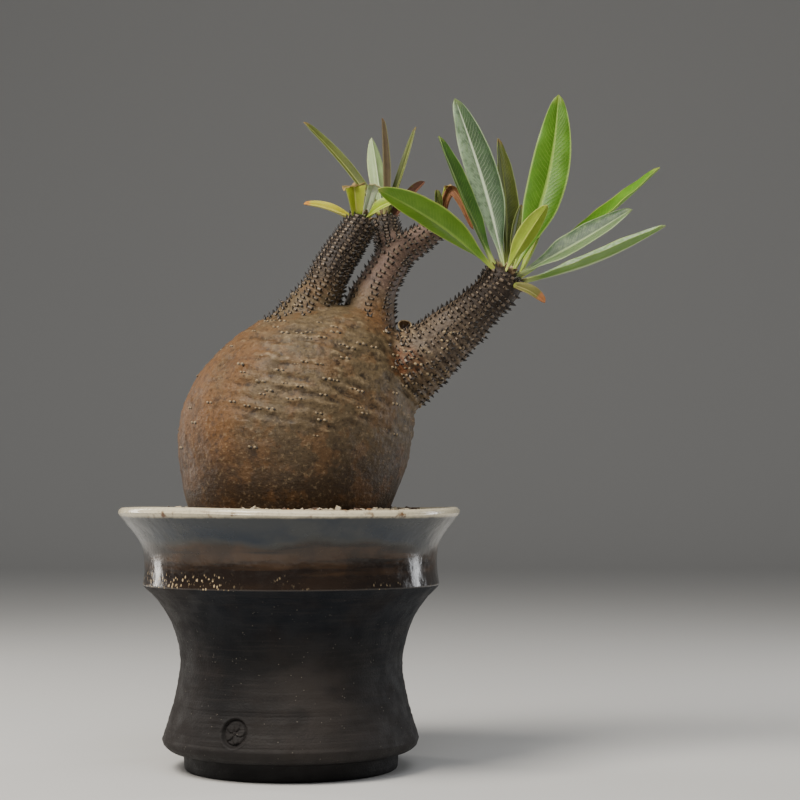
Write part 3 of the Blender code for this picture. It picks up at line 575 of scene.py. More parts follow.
def make_glaze():
    glaze = Finish("stoneware glaze")
    height, across = glaze.axis("Z"), glaze.axis("X")
    round_the_pot = glaze.stretched(1, 1, 0.2)
    wander = glaze.maths("MULTIPLY", glaze.maths("SUBTRACT", glaze.cloud(34, 1, places=round_the_pot), 0.5), 16 * MM)
    small = glaze.maths("MULTIPLY", glaze.maths("SUBTRACT", glaze.cloud(4, 3), 0.5), 1.6 * MM)
    level = glaze.maths("ADD", glaze.maths("ADD", height, wander), small)
    fog = glaze.step(level, 79.5 * MM, 85.5 * MM, 0.0, 0.35)
    cloudy = glaze.maths("MULTIPLY", glaze.step(glaze.cloud(15, 3), 0.42, 0.66), 0.45)
    # Painted reflection: the blue glaze is painted paler, towards fog-grey, on the pot's left and right sides, where
    # the side strips reflect.
    ends = glaze.step(glaze.maths("ABSOLUTE", glaze.maths("ADD", across, 36 * MM)), 36 * MM, 56 * MM, 0.0, 0.75)
    blue = glaze.mix(glaze.maths("MAXIMUM", glaze.maths("MAXIMUM", fog, cloudy), ends), GLAZE_BLUE, GLAZE_FOG)
    bands = glaze.cloud(5, 3, places=glaze.stretched(0.12, 0.12, 1))
    amber = glaze.mix(glaze.step(bands, 0.42, 0.58), GLAZE_AMBER, GLAZE_DARK)
    amber = glaze.mix(glaze.step(glaze.cloud(11, 3), 0.42, 0.6, 0.0, 0.6), amber, GLAZE_DARK)
    colour = glaze.mix(glaze.step(level, 75.8 * MM, 78.6 * MM), amber, blue)
    seam = glaze.maths("MULTIPLY", glaze.step(level, 75.6 * MM, 77.2 * MM), glaze.step(level, 79.2 * MM, 77.2 * MM))
    colour = glaze.mix(glaze.maths("MULTIPLY", seam, 0.3), colour, GLAZE_FOG)
    low = glaze.step(glaze.maths("ADD", height, small), 68.0 * MM, 66.4 * MM)
    colour = glaze.mix(glaze.maths("MULTIPLY", low, 0.8), colour, GLAZE_DARK)
    flecks = glaze.step(glaze.cells(1.0, places=glaze.stretched(1, 1, 0.6)), 0.4, 0.22)
    left_side = glaze.step(glaze.maths("ADD", across, glaze.maths("MULTIPLY", wander, 1.4)), -48 * MM, -62 * MM)
    elsewhere = glaze.step(glaze.cloud(15, 2), 0.6, 0.68, 0.0, 0.5)
    crowd = glaze.maths("MULTIPLY", glaze.maths("MAXIMUM", left_side, elsewhere), glaze.step(glaze.cloud(1.5, 1), 0.4, 0.55))
    colour = glaze.mix(glaze.maths("MULTIPLY", glaze.maths("MULTIPLY", low, flecks), crowd), colour, FLECK_BEIGE)
    lip_level = glaze.maths("ADD", height, glaze.maths("MULTIPLY", small, 0.5))
    lip = glaze.step(lip_level, 85.0 * MM, 86.3 * MM)
    stain = glaze.step(glaze.cloud(5.5, 4, 0.65), 0.55, 0.7)
    edge_stain = glaze.maths("MULTIPLY", stain, glaze.step(height, 88.8 * MM, 86.6 * MM))
    cream = glaze.mix(edge_stain, LIP_CREAM, LIP_BROWN)
    cream = glaze.mix(glaze.step(glaze.cloud(1.1, 3), 0.5, 0.75, 0.0, 0.3), cream, GLAZE_FOG)
    colour = glaze.mix(lip, colour, cream)
    dull = glaze.step(glaze.cloud(3, 3), 0.35, 0.7, 0.14, 0.28)
    waves = glaze.bump(glaze.cloud(7, 2), 0.4)
    pits = glaze.bump(glaze.cells(1.3), 0.04, waves)
    return glaze.use(base_color=colour, roughness=dull, normal=pits, coat_weight=0.3, coat_roughness=0.1,
                     specular_ior_level=0.35)


# %% Raw clay
CLAY_BLACK = paint(13, 13, 15)
CLAY_BLUE = paint(9, 14, 22)
CLAY_BROWN = paint(30, 22, 18)
CLAY_GREY = paint(52, 47, 44)
GRIT_PALE = paint(124, 118, 108)


def make_clay():
    clay = Finish("raw dark clay")
    height = clay.axis("Z")
    soft = clay.maths("MULTIPLY", clay.maths("SUBTRACT", clay.cloud(18, 3), 0.5), 26 * MM)
    level = clay.maths("ADD", height, soft)
    colour = clay.mix(clay.step(level, 34 * MM, 56 * MM), CLAY_BLACK, CLAY_BLUE)
    colour = clay.mix(clay.step(level, 34 * MM, 12 * MM, 0.0, 0.35), colour, CLAY_GREY)
    # Painted highlight: a paler grey patch low on the front of the pot, right of the middle.
    painted_highlight = clay.maths("MULTIPLY", clay.near((10, -36, 22), 6, 32), clay.step(clay.cloud(9, 4, places=clay.stretched(0.5, 0.5, 1)), 0.34, 0.62, 0.35, 0.95))
    colour = clay.mix(painted_highlight, colour, CLAY_GREY)
    # Warm brown-black on the pot's left side: partly a warm tint of the clay, partly painted shade on that side.
    sides = clay.step(clay.axis("X"), -58 * MM, -76 * MM, 0.0, 0.7)
    colour = clay.mix(sides, colour, CLAY_BROWN)
    colour = clay.mix(clay.step(clay.cloud(14, 4), 0.5, 0.72, 0.0, 0.4), colour, CLAY_BROWN)
    lines = clay.cloud(1.0, 4, 0.6, clay.stretched(0.06, 0.06, 1))
    colour = clay.mix(clay.step(lines, 0.5, 0.7, 0.0, 0.22), colour, CLAY_GREY)
    specks = clay.step(clay.cells(1.2), 0.17, 0.1)
    rare = clay.step(clay.cloud(3.0, 2), 0.56, 0.64, 0.0, 0.8)
    colour = clay.mix(clay.maths("MULTIPLY", specks, rare), colour, GRIT_PALE)
    foot = clay.step(height, 9 * MM, 5 * MM, 0.0, 0.7)
    colour = clay.mix(foot, colour, CLAY_BLACK)
    tooth = clay.bump(clay.cloud(0.45, 4, 0.7), 0.12)
    fingers = clay.bump(lines, 0.14, tooth)
    grit = clay.bump(clay.cells(0.9), -0.06, fingers)
    dull = clay.step(clay.cloud(6, 3), 0.3, 0.7, 0.55, 0.75)
    return clay.use(base_color=colour, roughness=dull, normal=grit, specular_ior_level=0.22)


GLAZE_END = SHOULDER_HEIGHT + 0.2
pot.data.materials.append(make_glaze())
pot.data.materials.append(make_clay())
for face in pot.data.polygons:
    face.material_index = 0 if face.center.z > GLAZE_END * MM else 1
hand_over(pot, "pot", slot="stoneware")

# %% [markdown]
# ## The drain net
# A square of plastic mesh over the hole in the pot's floor. It is only seen through that hole, so the frame's own net
# stays and gets a slightly ribbed, dull plastic.

# %% Net plastic
def make_net_plastic():
    plastic = Finish("black net plastic")
    colour = plastic.mix(plastic.step(plastic.cloud(2, 3), 0.4, 0.7), paint(26, 26, 26), paint(48, 46, 42))
    ribs = plastic.bump(plastic.cloud(0.5, 2), 0.05)
    return plastic.use(base_color=colour, roughness=0.5, normal=ribs)


net = frame["nodes"]["drain_net"]
net.data.materials.clear()
net.data.materials.append(make_net_plastic())

# %% [markdown]
# ## The plant body
# Caudex and branches grew as one piece. The frame joins overlapping tubes into one skin, and the same is done here with
# voxels half as wide: Remesh melts the tubes together and Smooth rounds the crotches. The skin is then moved in and
# out by a few rules: broad lumps, the sloping wrinkles of a plant that shrinks and swells, and small pimples.

# %% Sections of the caudex and paths of the branches
ROOT_SECTIONS = [(0.0, 44.0, 3.0), (0.0, 47.0, 5.5), (0.0, 58.0, 8.0), (0.0, 66.0, 17.0), (0.0, 76.0, 28.5),
                 (-0.4, 89.0, 34.9)]
TRUNK_SECTIONS = [(0.6, 101.0, 38.4), (1.4, 112.0, 40.0), (2.4, 120.5, 40.0), (3.9, 129.0, 38.4),
                  (6.0, 137.5, 35.4), (8.6, 146.0, 29.6), (11.2, 153.0, 20.8), (13.5, 157.3, 10.0)]
TRUNK_SIDES = 64
TRUNK_DEPTH = 0.96
LEFT_BRANCH = [(-3.0, -4.0, 138.0, 12.5), (1.4, -5.0, 146.0, 11.4), (6.3, -6.0, 154.3, 9.3),
               (10.7, -6.5, 162.4, 7.1), (13.8, -6.0, 169.3, 6.3), (17.9, -5.0, 176.6, 6.0),
               (21.8, -4.0, 182.6, 5.6), (24.6, -3.4, 187.0, 5.1)]
MIDDLE_BRANCH = [(24.0, 0.0, 141.0, 13.0), (26.2, 0.0, 151.0, 10.4), (27.4, 0.4, 159.8, 8.4),
                 (30.1, 1.0, 166.4, 7.0), (33.1, 2.0, 171.9, 6.4), (36.0, 3.0, 176.2, 6.1), (40.0, 3.8, 179.0, 5.0),
                 (44.6, 4.6, 182.2, 4.3), (48.4, 5.2, 185.2, 4.1), (51.8, 5.8, 188.4, 4.1)]
BACK_FORK = [(35.4, 3.4, 175.5, 5.0), (34.2, 5.4, 180.0, 4.8), (33.0, 7.4, 184.8, 4.5), (32.5, 8.8, 189.2, 4.3)]
RIGHT_BRANCH = [(25.0, -2.0, 127.5, 15.5), (33.5, -3.0, 132.6, 14.2), (41.5, -4.0, 137.4, 12.4),
                (49.4, -5.2, 143.2, 10.4), (56.2, -6.3, 149.2, 8.7), (62.4, -7.5, 155.0, 7.6),
                (67.8, -8.7, 160.2, 7.2), (71.6, -9.6, 164.0, 7.3), (73.4, -10.0, 167.4, 7.2)]
BRANCH_SIDES = 32
TIP_DOME = 0.42
SKIN_VOXEL = 0.69
SKIN_SMOOTHING = 18


def growing_direction(branch):
    return (Vector(branch[-1][:3]) - Vector(branch[-2][:3])).normalized()


def across_axes(ahead):
    """Two directions square to a branch, of which the first looks to the back."""
    side = (Vector((0, 1, 0)) - ahead * ahead.y).normalized()
    return side, ahead.cross(side)


def branch_rings(branch):
    tip, radius = Vector(branch[-1][:3]), branch[-1][3]
    path = smooth_run(branch, 6)
    for turn in (20, 40, 58, 74):
        lift = radius * TIP_DOME * math.sin(math.radians(turn))
        path.append((*(tip + growing_direction(branch) * lift), radius * math.cos(math.radians(turn))))
    centres = [Vector(p[:3]) for p in path]
    rings = []
    for i, centre in enumerate(centres):
        ahead = (centres[min(i + 1, len(path) - 1)] - centres[max(i - 1, 0)]).normalized()
        side, other = across_axes(ahead)
        ring = []
        for j in range(BRANCH_SIDES):
            angle = 2 * math.pi * j / BRANCH_SIDES
            ring.append(centre + (side * math.cos(angle) + other * math.sin(angle)) * path[i][3])
        rings.append(ring)
    return rings


def trunk_rings():
    rings = []
    for x, z, radius in smooth_run(ROOT_SECTIONS + TRUNK_SECTIONS, 4):
        depth = 1 + (TRUNK_DEPTH - 1) * ease(90, 120, z)
        ring = []
        for j in range(TRUNK_SIDES):
            angle = 2 * math.pi * j / TRUNK_SIDES
            ring.append((x + radius * math.cos(angle), radius * math.sin(angle) * depth, z))
        rings.append(ring)
    return rings


def bridge(rings, start=0):
    """Points and faces through rings, closed at both ends."""
    points = [p for ring in rings for p in ring]
    sides = len(rings[0])
    faces = []
    for i in range(len(rings) - 1):
        for j in range(sides):
            k = (j + 1) % sides
            corners = (i * sides + j, i * sides + k, (i + 1) * sides + k, (i + 1) * sides + j)
            faces.append(tuple(c + start for c in corners))
    faces.append(tuple(start + j for j in reversed(range(sides))))
    faces.append(tuple(start + len(points) - sides + j for j in range(sides)))
    return points, faces


def melt_skin():
    points, faces = [], []
    solids = [trunk_rings()] + [branch_rings(b) for b in (LEFT_BRANCH, MIDDLE_BRANCH, BACK_FORK, RIGHT_BRANCH)]
    for rings in solids:
        new_points, new_faces = bridge(rings, len(points))
        points += new_points
        faces += new_faces
    skin = add_piece("caudex_skin", points, faces)
    remesh = skin.modifiers.new("one skin", "REMESH")
    remesh.mode = "VOXEL"
    remesh.voxel_size = SKIN_VOXEL * MM
    smooth = skin.modifiers.new("round crotches", "SMOOTH")
    smooth.factor = 0.5
    smooth.iterations = SKIN_SMOOTHING
    settle(skin)
    return skin


skin = melt_skin()
print("smooth skin:", len(skin.data.vertices), "points")

# %% Relief of the skin
LUMP_SIZE = 17.0
LUMP_DEPTH = 0.8
FOLD_PITCH = 4.4
FOLD_SLOPE = 0.14
FOLD_DEPTH = 0.38
CREASE_PITCH = 1.5
CREASE_DEPTH = 0.12
PIMPLE_SIZE = 1.5
PIMPLE_DEPTH = 0.3
KNOB = ((37.6, -1.5, 178.6), 3.4, 1.3)
PINCHED = ((17.0, -13.0, 149.0), 8.0)


def branch_paths():
    """Evenly set points along each branch: place, radius and share of its length."""
    paths = {}
    for name, branch in (("left", LEFT_BRANCH), ("middle", MIDDLE_BRANCH), ("back", BACK_FORK), ("right", RIGHT_BRANCH)):
        run = smooth_run(branch, 4)
        paths[name] = [(Vector(p[:3]), p[3], i / (len(run) - 1)) for i, p in enumerate(run)]
    return paths


PATHS = branch_paths()


def on_branch(place, name, begin, end):
    """0 on the caudex, rising softly to 1 between two shares of a branch's length."""
    away, share = min(((place - centre).length / radius, share) for centre, radius, share in PATHS[name])
    return (1 - ease(1.15, 1.7, away)) * ease(begin, end, share)


def fold_wave(place):
    """The sloping folds, steeper to the right: 1 on a crest, -1 in a crease."""
    slope = FOLD_SLOPE * place.x + 0.0125 * max(place.x - 8, 0) ** 2
    drift = grain_noise((place.x * 0.6, place.y * 0.6, place.z * 0.4), 11.0) * 2.4 + grain_noise(place, 4.5) * 0.7
    wave = math.sin(2 * math.pi * (place.z + slope + drift) / FOLD_PITCH)
    return wave if wave > 0 else -((-wave) ** 0.7)


def relief(place, branch):
    """How far the skin stands out, and where it lies on the folds, from -1 in creases to 1 on crests, which the bark
    turns into painted highlight and painted shade.
    """
    above = ease(92, 104, place.z)
    body = 1 - branch
    band = ease(103, 122, place.z) * (1 - 0.8 * ease(146, 156, place.z)) * (0.25 + 0.75 * ease(-30, 6, place.x))
    patch = ease(-0.4, 0.25, grain_noise((place.x * 0.7, place.y * 0.7, place.z), 5.5))
    wave = fold_wave(place) * band * patch * body
    tilted = (place.x * 0.55, place.y * 0.55, place.z + FOLD_SLOPE * place.x)
    creases = grain_noise(tilted, CREASE_PITCH) * (0.3 + band) * body * above
    pinch = bell((place - Vector(PINCHED[0])).length, 0, PINCHED[1]) * math.sin(place.z * 4.6 + grain_noise(place, 4) * 3)
    pimples = max(grain_noise(place, PIMPLE_SIZE) - 0.1, 0.0) ** 1.5 * 2.5 * above * (0.4 + 0.6 * body)
    out = grain_noise(place, LUMP_SIZE) * LUMP_DEPTH * above
    out += grain_noise(place, 5.5) * 0.3 * above * (0.5 + 0.5 * body)
    out += wave * FOLD_DEPTH + creases * CREASE_DEPTH * 2 + pimples * PIMPLE_DEPTH + pinch * 0.16
    out += KNOB[2] * bell((place - Vector(KNOB[0])).length, 0, KNOB[1])
    return out, max(-1.0, min(1.0, wave * 0.8 + creases * 0.7 + pinch * 0.5))


def carve(skin):
    mesh = skin.data
    normals = [vertex.normal.copy() for vertex in mesh.vertices]
    fold_light_and_wear, dark, pink, grey = [], [], [], []
    for vertex, normal in zip(mesh.vertices, normals):
        place = from_frame(vertex.co)
        left = middle = back = right = base = 0.0
        if place.z > 125:
            left = on_branch(place, "left", 0.34, 0.6)
            middle = on_branch(place, "middle", 0.14, 0.34)
            back = on_branch(place, "back", 0.1, 0.5)
            right = on_branch(place, "right", 0.42, 0.75)
            base = on_branch(place, "right", 0.12, 0.4)
        branch = max(left, right, middle, back)
        out, fold_crest = relief(place, branch)
        vertex.co += normal * out * MM
        fold_light_and_wear.append(fold_crest)
        dark.append(max(left, right, back, middle * ease(37, 42, place.x)))
        pink.append(middle * (1 - max(left, right)))
        grey.append(base)
    # Where each point lies on the folds: the bark paints painted highlight on the crests and painted shade in the
    # creases from it, and the scars are set by it.
    store(mesh, "fold_light_and_wear", fold_light_and_wear)
    store(mesh, "dark_bark", dark)
    store(mesh, "pink_bark", pink)
    store(mesh, "grey_bark", grey)


carve(skin)
finish_mesh(skin, 80)
print("carved skin:", triangles(skin), "triangles")

# %% [markdown]
# ## Bark
# The skin is waxy and tan where it is young and stretched, grey-olive on the old front, and dark brown towards the
# soil, partly its own colour and partly painted shade. Its crests are painted pale as painted highlight, and its
# creases painted dark as painted shade. The left and right branches are dark grey-brown, the middle one is pinkish
# grey, and a rust-coloured patch lies under the right branch. The values that carving stored tell the material where
# it is.

# %% Bark finish
BARK_TAN = paint(112, 79, 47)
BARK_OLIVE = paint(98, 82, 58)
BARK_BROWN = paint(50, 37, 26)
BARK_PALE = paint(150, 129, 98)
BARK_CREASE = paint(36, 26, 19)
BARK_RUST = paint(112, 64, 32)
BARK_DARK = paint(50, 40, 33)
BARK_PINK = paint(110, 88, 76)
BARK_GREY = paint(98, 84, 70)
BARK_LICHEN = paint(136, 124, 100)


def make_bark():
    bark = Finish("caudex bark")
    height, across = bark.axis("Z"), bark.axis("X")
    soft = bark.maths("MULTIPLY", bark.maths("SUBTRACT", bark.cloud(16, 4), 0.5), 60 * MM)
    front = bark.step(bark.maths("ADD", across, soft), -64 * MM, -34 * MM)
    colour = bark.mix(front, BARK_TAN, BARK_OLIVE)
    # Darker brown towards the soil: partly the bark's own colour, partly painted shade.
    low = bark.step(bark.maths("SUBTRACT", height, bark.maths("MULTIPLY", soft, 0.35)), 126 * MM, 92 * MM, 0.0, 0.9)
    colour = bark.mix(low, colour, BARK_BROWN)
    colour = bark.mix(bark.step(bark.cloud(7, 5, 0.6), 0.5, 0.66, 0.0, 0.4), colour, BARK_BROWN)
    colour = bark.mix(bark.step(bark.cloud(9, 4, 0.6), 0.5, 0.4, 0.0, 0.4), colour, BARK_TAN)
    saddle = bark.near((30, -10, 152), 3, 13)
    colour = bark.mix(bark.maths("MULTIPLY", saddle, 0.8), colour, BARK_TAN)
    colour = bark.mix(bark.attribute("grey_bark"), colour, BARK_GREY)
    rust = bark.maths("MULTIPLY", bark.near((39, -17, 137), 2, 9), bark.step(bark.cloud(4, 4), 0.36, 0.55, 0.0, 0.85))
    colour = bark.mix(rust, colour, BARK_RUST)
    colour = bark.mix(bark.attribute("dark_bark"), colour, BARK_DARK)
    colour = bark.mix(bark.attribute("pink_bark"), colour, BARK_PINK)
    fold_light_and_wear = bark.attribute("fold_light_and_wear")
    broken = bark.step(bark.cloud(1.8, 4, 0.6), 0.42, 0.58, 0.15, 1.0)
    # Painted highlight: the crests of the folds are painted pale.
    crest = bark.maths("MULTIPLY", bark.step(fold_light_and_wear, 0.15, 0.85, 0.0, 0.6), broken)
    colour = bark.mix(crest, colour, BARK_PALE)
    # Painted shade: the creases of the folds are painted dark.
    crease = bark.maths("MULTIPLY", bark.step(fold_light_and_wear, -0.15, -0.8, 0.0, 0.75), broken)
    colour = bark.mix(crease, colour, BARK_CREASE)
    blotch = bark.cloud(3.4, 4, 0.6)
    colour = bark.mix(bark.step(blotch, 0.52, 0.66, 0.0, 0.35), colour, BARK_BROWN)
    mottle = bark.cloud(1.3, 5, 0.65)
    colour = bark.mix(bark.step(mottle, 0.52, 0.68, 0.0, 0.6), colour, BARK_CREASE)
    colour = bark.mix(bark.step(mottle, 0.45, 0.33, 0.0, 0.35), colour, BARK_PALE)
    flakes = bark.maths("MULTIPLY", bark.step(bark.cells(1.5), 0.26, 0.12), bark.step(bark.cloud(6, 2), 0.5, 0.6))
    colour = bark.mix(bark.maths("MULTIPLY", flakes, 0.3), colour, BARK_LICHEN)
    pores = bark.bump(bark.cloud(0.5, 4, 0.65), 0.14)
    skin_folds = bark.bump(bark.cloud(1.5, 4, 0.6, bark.stretched(0.8, 0.8, 1.15)), 0.42, pores)
    gloss = bark.step(bark.cloud(5, 3), 0.35, 0.65, 0.42, 0.62)
    return bark.use(base_color=colour, roughness=gloss, normal=skin_folds, specular_ior_level=0.28)


skin.data.materials.append(make_bark())

# %% [markdown]
# ## Spines
# Pachypodium spines stand in pairs on small pale cushions, in rows along each branch. One pair is modelled. A node tree
# walks along a branch's middle line, shoots a ray outwards for each row to find the skin, and sets a pair there, turned
# square to the skin and leaning to the tip. A pair is a few dozen faces, because there are hundreds.

# %% One pair of spines
SPINE_LENGTH = 1.45
SPINE_ROOT = 0.46
SPINE_SIDES = 5
CUSHION = (1.5, 0.55, 0.55)


def cone(points, faces, tips, base, aim, length, width, sides=SPINE_SIDES):
    """Adds a spine that bends in from its root to a point."""
    side = aim.orthogonal().normalized()
    other = aim.cross(side)
    start = len(points)
    for rise, girth, tip in ((-0.25, 1.15, 0.25), (0.3, 0.72, 0.55), (0.7, 0.34, 0.8)):
        for j in range(sides):
            angle = 2 * math.pi * j / sides
            around = side * math.cos(angle) + other * math.sin(angle)
            points.append(base + aim * length * rise + around * width * girth)
            tips.append(tip)
    points.append(base + aim * length)
    tips.append(1.0)
    for level in range(2):
        for j in range(sides):
            k = (j + 1) % sides
            low = start + level * sides
            faces.append((low + j, low + k, low + sides + k, low + sides + j))
    for j in range(sides):
        faces.append((start + 2 * sides + j, start + 2 * sides + (j + 1) % sides, start + 3 * sides))
    faces.append(tuple(start + j for j in reversed(range(sides))))


def dome(points, faces, tips, middle, size, value, sides=7):
    """Adds a low cushion, whose underside is in the skin."""
    start = len(points)
    for rise, girth in ((-0.6, 1.0), (0.25, 0.95), (0.8, 0.55)):
        for j in range(sides):
            angle = 2 * math.pi * j / sides
            points.append(middle + Vector((size[0] * girth * math.cos(angle), size[1] * girth * math.sin(angle),
                                           size[2] * rise)))
            tips.append(value)
    points.append(middle + Vector((0, 0, size[2])))
    tips.append(value)
    for level in range(2):
        for j in range(sides):
            k = (j + 1) % sides
            low = start + level * sides
            faces.append((low + j, low + k, low + sides + k, low + sides + j))
    for j in range(sides):
        faces.append((start + 2 * sides + j, start + 2 * sides + (j + 1) % sides, start + 3 * sides))
    faces.append(tuple(start + j for j in reversed(range(sides))))


def make_pair():
    points, faces, tips = [], [], []
    dome(points, faces, tips, Vector((0, 0, 0)), CUSHION, 0.0)
    for half in (-1, 1):
        aim = Vector((half * 0.4, 0.25, 1.0)).normalized()
        cone(points, faces, tips, Vector((half * 0.85, 0, 0.15)), aim, SPINE_LENGTH, SPINE_ROOT)
    return loose_shape("pair of spines", points, faces, tip=tips)


pair = make_pair()
print("one pair:", len(pair.data.polygons), "faces")

# %% The tree that sets the pairs
def spine_tree():
    tree, given = new_tree("rows of spines", {
        "Skin": "Object", "Pair": "Object", "Step": "Float", "Rows": "Int", "Reach": "Float", "Rise": "Float",
        "Smallest": "Float", "Largest": "Float", "Seed": "Int", "Finish": "Material"})
    line = add_node(tree, "GeometryNodeMeshToCurve", None, {"Mesh": given["Geometry"]})
    even = add_node(tree, "GeometryNodeResampleCurve", {"mode": "LENGTH"},
                    {"Curve": line.outputs[0], "Length": given["Step"]})
    dots = add_node(tree, "GeometryNodeCurveToPoints", {"mode": "EVALUATED"}, {"Curve": even.outputs[0]})
    rows = add_node(tree, "GeometryNodeDuplicateElements", {"domain": "POINT"},
                    {"Geometry": dots.outputs["Points"], "Amount": given["Rows"]})
    ahead = dots.outputs["Tangent"]

    def vector(operation, a, b=None, scale=None):
        inputs = {0: a}
        if b is not None:
            inputs[1] = b
        if scale is not None:
            inputs["Scale"] = scale
        return add_node(tree, "ShaderNodeVectorMath", {"operation": operation}, inputs).outputs["Vector"]

    def number(operation, a, b=0.0):
        return add_node(tree, "ShaderNodeMath", {"operation": operation}, {0: a, 1: b}).outputs[0]

    def chance(low, high, offset):
        seed = number("ADD", given["Seed"], offset)
        return output_of(add_node(tree, "FunctionNodeRandomValue", {"data_type": "FLOAT"},
                                  {"Min": low, "Max": high, "Seed": seed}))

    side = vector("NORMALIZE", vector("CROSS_PRODUCT", ahead, (0.0, 1.0, 0.0)))
    other = vector("CROSS_PRODUCT", ahead, side)
    turn = number("ADD", rows.outputs["Duplicate Index"], chance(-0.13, 0.13, 1))
    angle = number("MULTIPLY", number("DIVIDE", turn, given["Rows"]), 2 * math.pi)
    out = vector("ADD", vector("SCALE", side, scale=number("COSINE", angle)),
                 vector("SCALE", other, scale=number("SINE", angle)))
    girth = output_of(add_node(tree, "GeometryNodeInputNamedAttribute", {"data_type": "FLOAT"}, {"Name": "girth"}))
    far = number("MULTIPLY", girth, given["Reach"])
    target = add_node(tree, "GeometryNodeObjectInfo", None, {"Object": given["Skin"]})
    ray = add_node(tree, "GeometryNodeRaycast", None, {
        "Target Geometry": target.outputs["Geometry"], "Ray Direction": out, "Ray Length": far})
    here = add_node(tree, "GeometryNodeInputPosition").outputs[0]
    shake = vector("ADD", here, vector("SCALE", ahead, scale=chance(-0.0002, 0.0002, 2)))
    tree.links.new(shake, ray.inputs["Source Position"])
    place = rows.outputs["Geometry"]
    for label, kind, value in (("out", "FLOAT_VECTOR", ray.outputs["Hit Normal"]),
                               ("ahead", "FLOAT_VECTOR", ahead), ("hit", "BOOLEAN", ray.outputs["Is Hit"])):
        place = add_node(tree, "GeometryNodeStoreNamedAttribute", {"data_type": kind, "domain": "POINT"},
                         {"Geometry": place, "Name": label, "Value": value}).outputs[0]
    moved = add_node(tree, "GeometryNodeSetPosition", None,
                     {"Geometry": place, "Position": ray.outputs["Hit Position"]})

    def named(label, kind):
        return output_of(add_node(tree, "GeometryNodeInputNamedAttribute", {"data_type": kind}, {"Name": label}))

    missed = add_node(tree, "FunctionNodeBooleanMath", {"operation": "NOT"}, {0: named("hit", "BOOLEAN")})
    kept = add_node(tree, "GeometryNodeDeleteGeometry", {"domain": "POINT"},
                    {"Geometry": moved.outputs[0], "Selection": missed.outputs[0]})
    up = vector("ADD", named("out", "FLOAT_VECTOR"), vector("SCALE", named("ahead", "FLOAT_VECTOR"), scale=given["Rise"]))
    stand = add_node(tree, "FunctionNodeAlignRotationToVector", {"axis": "Z"}, {"Vector": up})
    across = vector("CROSS_PRODUCT", named("ahead", "FLOAT_VECTOR"), named("out", "FLOAT_VECTOR"))
    square = add_node(tree, "FunctionNodeAlignRotationToVector", {"axis": "X", "pivot_axis": "Z"},
                      {"Rotation": stand.outputs[0], "Vector": across})
    shape = add_node(tree, "GeometryNodeObjectInfo", None, {"Object": given["Pair"]})
    grown = add_node(tree, "GeometryNodeInstanceOnPoints", None, {
        "Points": kept.outputs[0], "Instance": shape.outputs["Geometry"], "Rotation": square.outputs[0],
        "Scale": chance(given["Smallest"], given["Largest"], 3)})
    close_tree(tree, grown.outputs[0], given["Finish"])
    return tree


# %% Spine finish and spines on every branch
SPINE_GREY = paint(120, 104, 86)
SPINE_BLACK = paint(22, 17, 15)
SPINE_TIP = paint(176, 160, 138)


def make_spine_finish():
    horn = Finish("spine horn")
    tip = horn.attribute("tip")
    colour = horn.mix(horn.step(tip, 0.05, 0.35), SPINE_GREY, SPINE_BLACK)
    colour = horn.mix(horn.step(tip, 0.85, 1.0, 0.0, 0.4), colour, SPINE_TIP)
    fold_light_and_wear = horn.step(horn.cloud(2.5, 3), 0.45, 0.65, 0.0, 0.45)
    colour = horn.mix(fold_light_and_wear, colour, BARK_DARK)
    return horn.use(base_color=colour, roughness=0.45, normal=horn.bump(horn.cloud(0.3, 2), 0.04))


# Each branch: its path, the share without spines, rows round it, step, and smallest and largest pair
SPINY = {
    "left": (LEFT_BRANCH, 0.16, 12, 1.55, 0.75, 1.1),
    "middle": (MIDDLE_BRANCH, 0.12, 8, 2.05, 0.8, 1.1),
    "back": (BACK_FORK, 0.2, 8, 1.5, 0.7, 0.95),
    "right": (RIGHT_BRANCH, 0.2, 13, 1.75, 0.75, 1.15),
}
SPINE_REACH = 1.35


def spine_line(name, branch, bare):
    """A line along a branch's middle, which carries its thickness."""
    path = smooth_run(branch, 8)
    path = path[int(bare * len(path)):]
    mesh = bpy.data.meshes.new("line " + name)
    mesh.from_pydata([in_frame(p[:3]) for p in path], [(i, i + 1) for i in range(len(path) - 1)], [])
    store(mesh, "girth", [p[3] * MM for p in path])
    line = bpy.data.objects.new("line " + name, mesh)
    bpy.context.scene.collection.objects.link(line)
    return line


def grow_spines():
    tree = spine_tree()
    finish = make_spine_finish()
    for seed, (name, (branch, bare, rows, step, small, large)) in enumerate(SPINY.items()):
        line = spine_line(name, branch, bare)
        spines = grow("spines_" + name, line, tree, {
            "Skin": skin, "Pair": pair, "Step": step * MM, "Rows": rows, "Reach": SPINE_REACH, "Rise": 0.25,
            "Smallest": small, "Largest": large, "Seed": seed * 10, "Finish": finish})
        bpy.data.objects.remove(line)
        hand_over(spines, slot="bark")
    bpy.data.objects.remove(pair)


grow_spines()

# %% [markdown]
# ## Spine scars
# Where old spines have fallen from the caudex, a pair of pale knobs with a dark pit stays behind. They sit on the crests
# of the folds, so the tree scatters them by a chance stored on the skin: high on the crests of the front and shoulders,
# low near the soil.

# %% Scars
SCAR_SPACING = 2.5
SCAR_DENSITY = 160000.0


def make_scar():
    points, faces, tips = [], [], []
    for half in (-1, 1):
        dome(points, faces, tips, Vector((half * 0.95 - 0.3, 0.12, 0)), (0.55, 0.46, 0.4), 0.0, 6)
        dome(points, faces, tips, Vector((half * 0.95 + 0.34, -0.1, 0)), (0.52, 0.44, 0.22), 1.0, 6)
    return loose_shape("spine scar", points, faces, tip=tips)


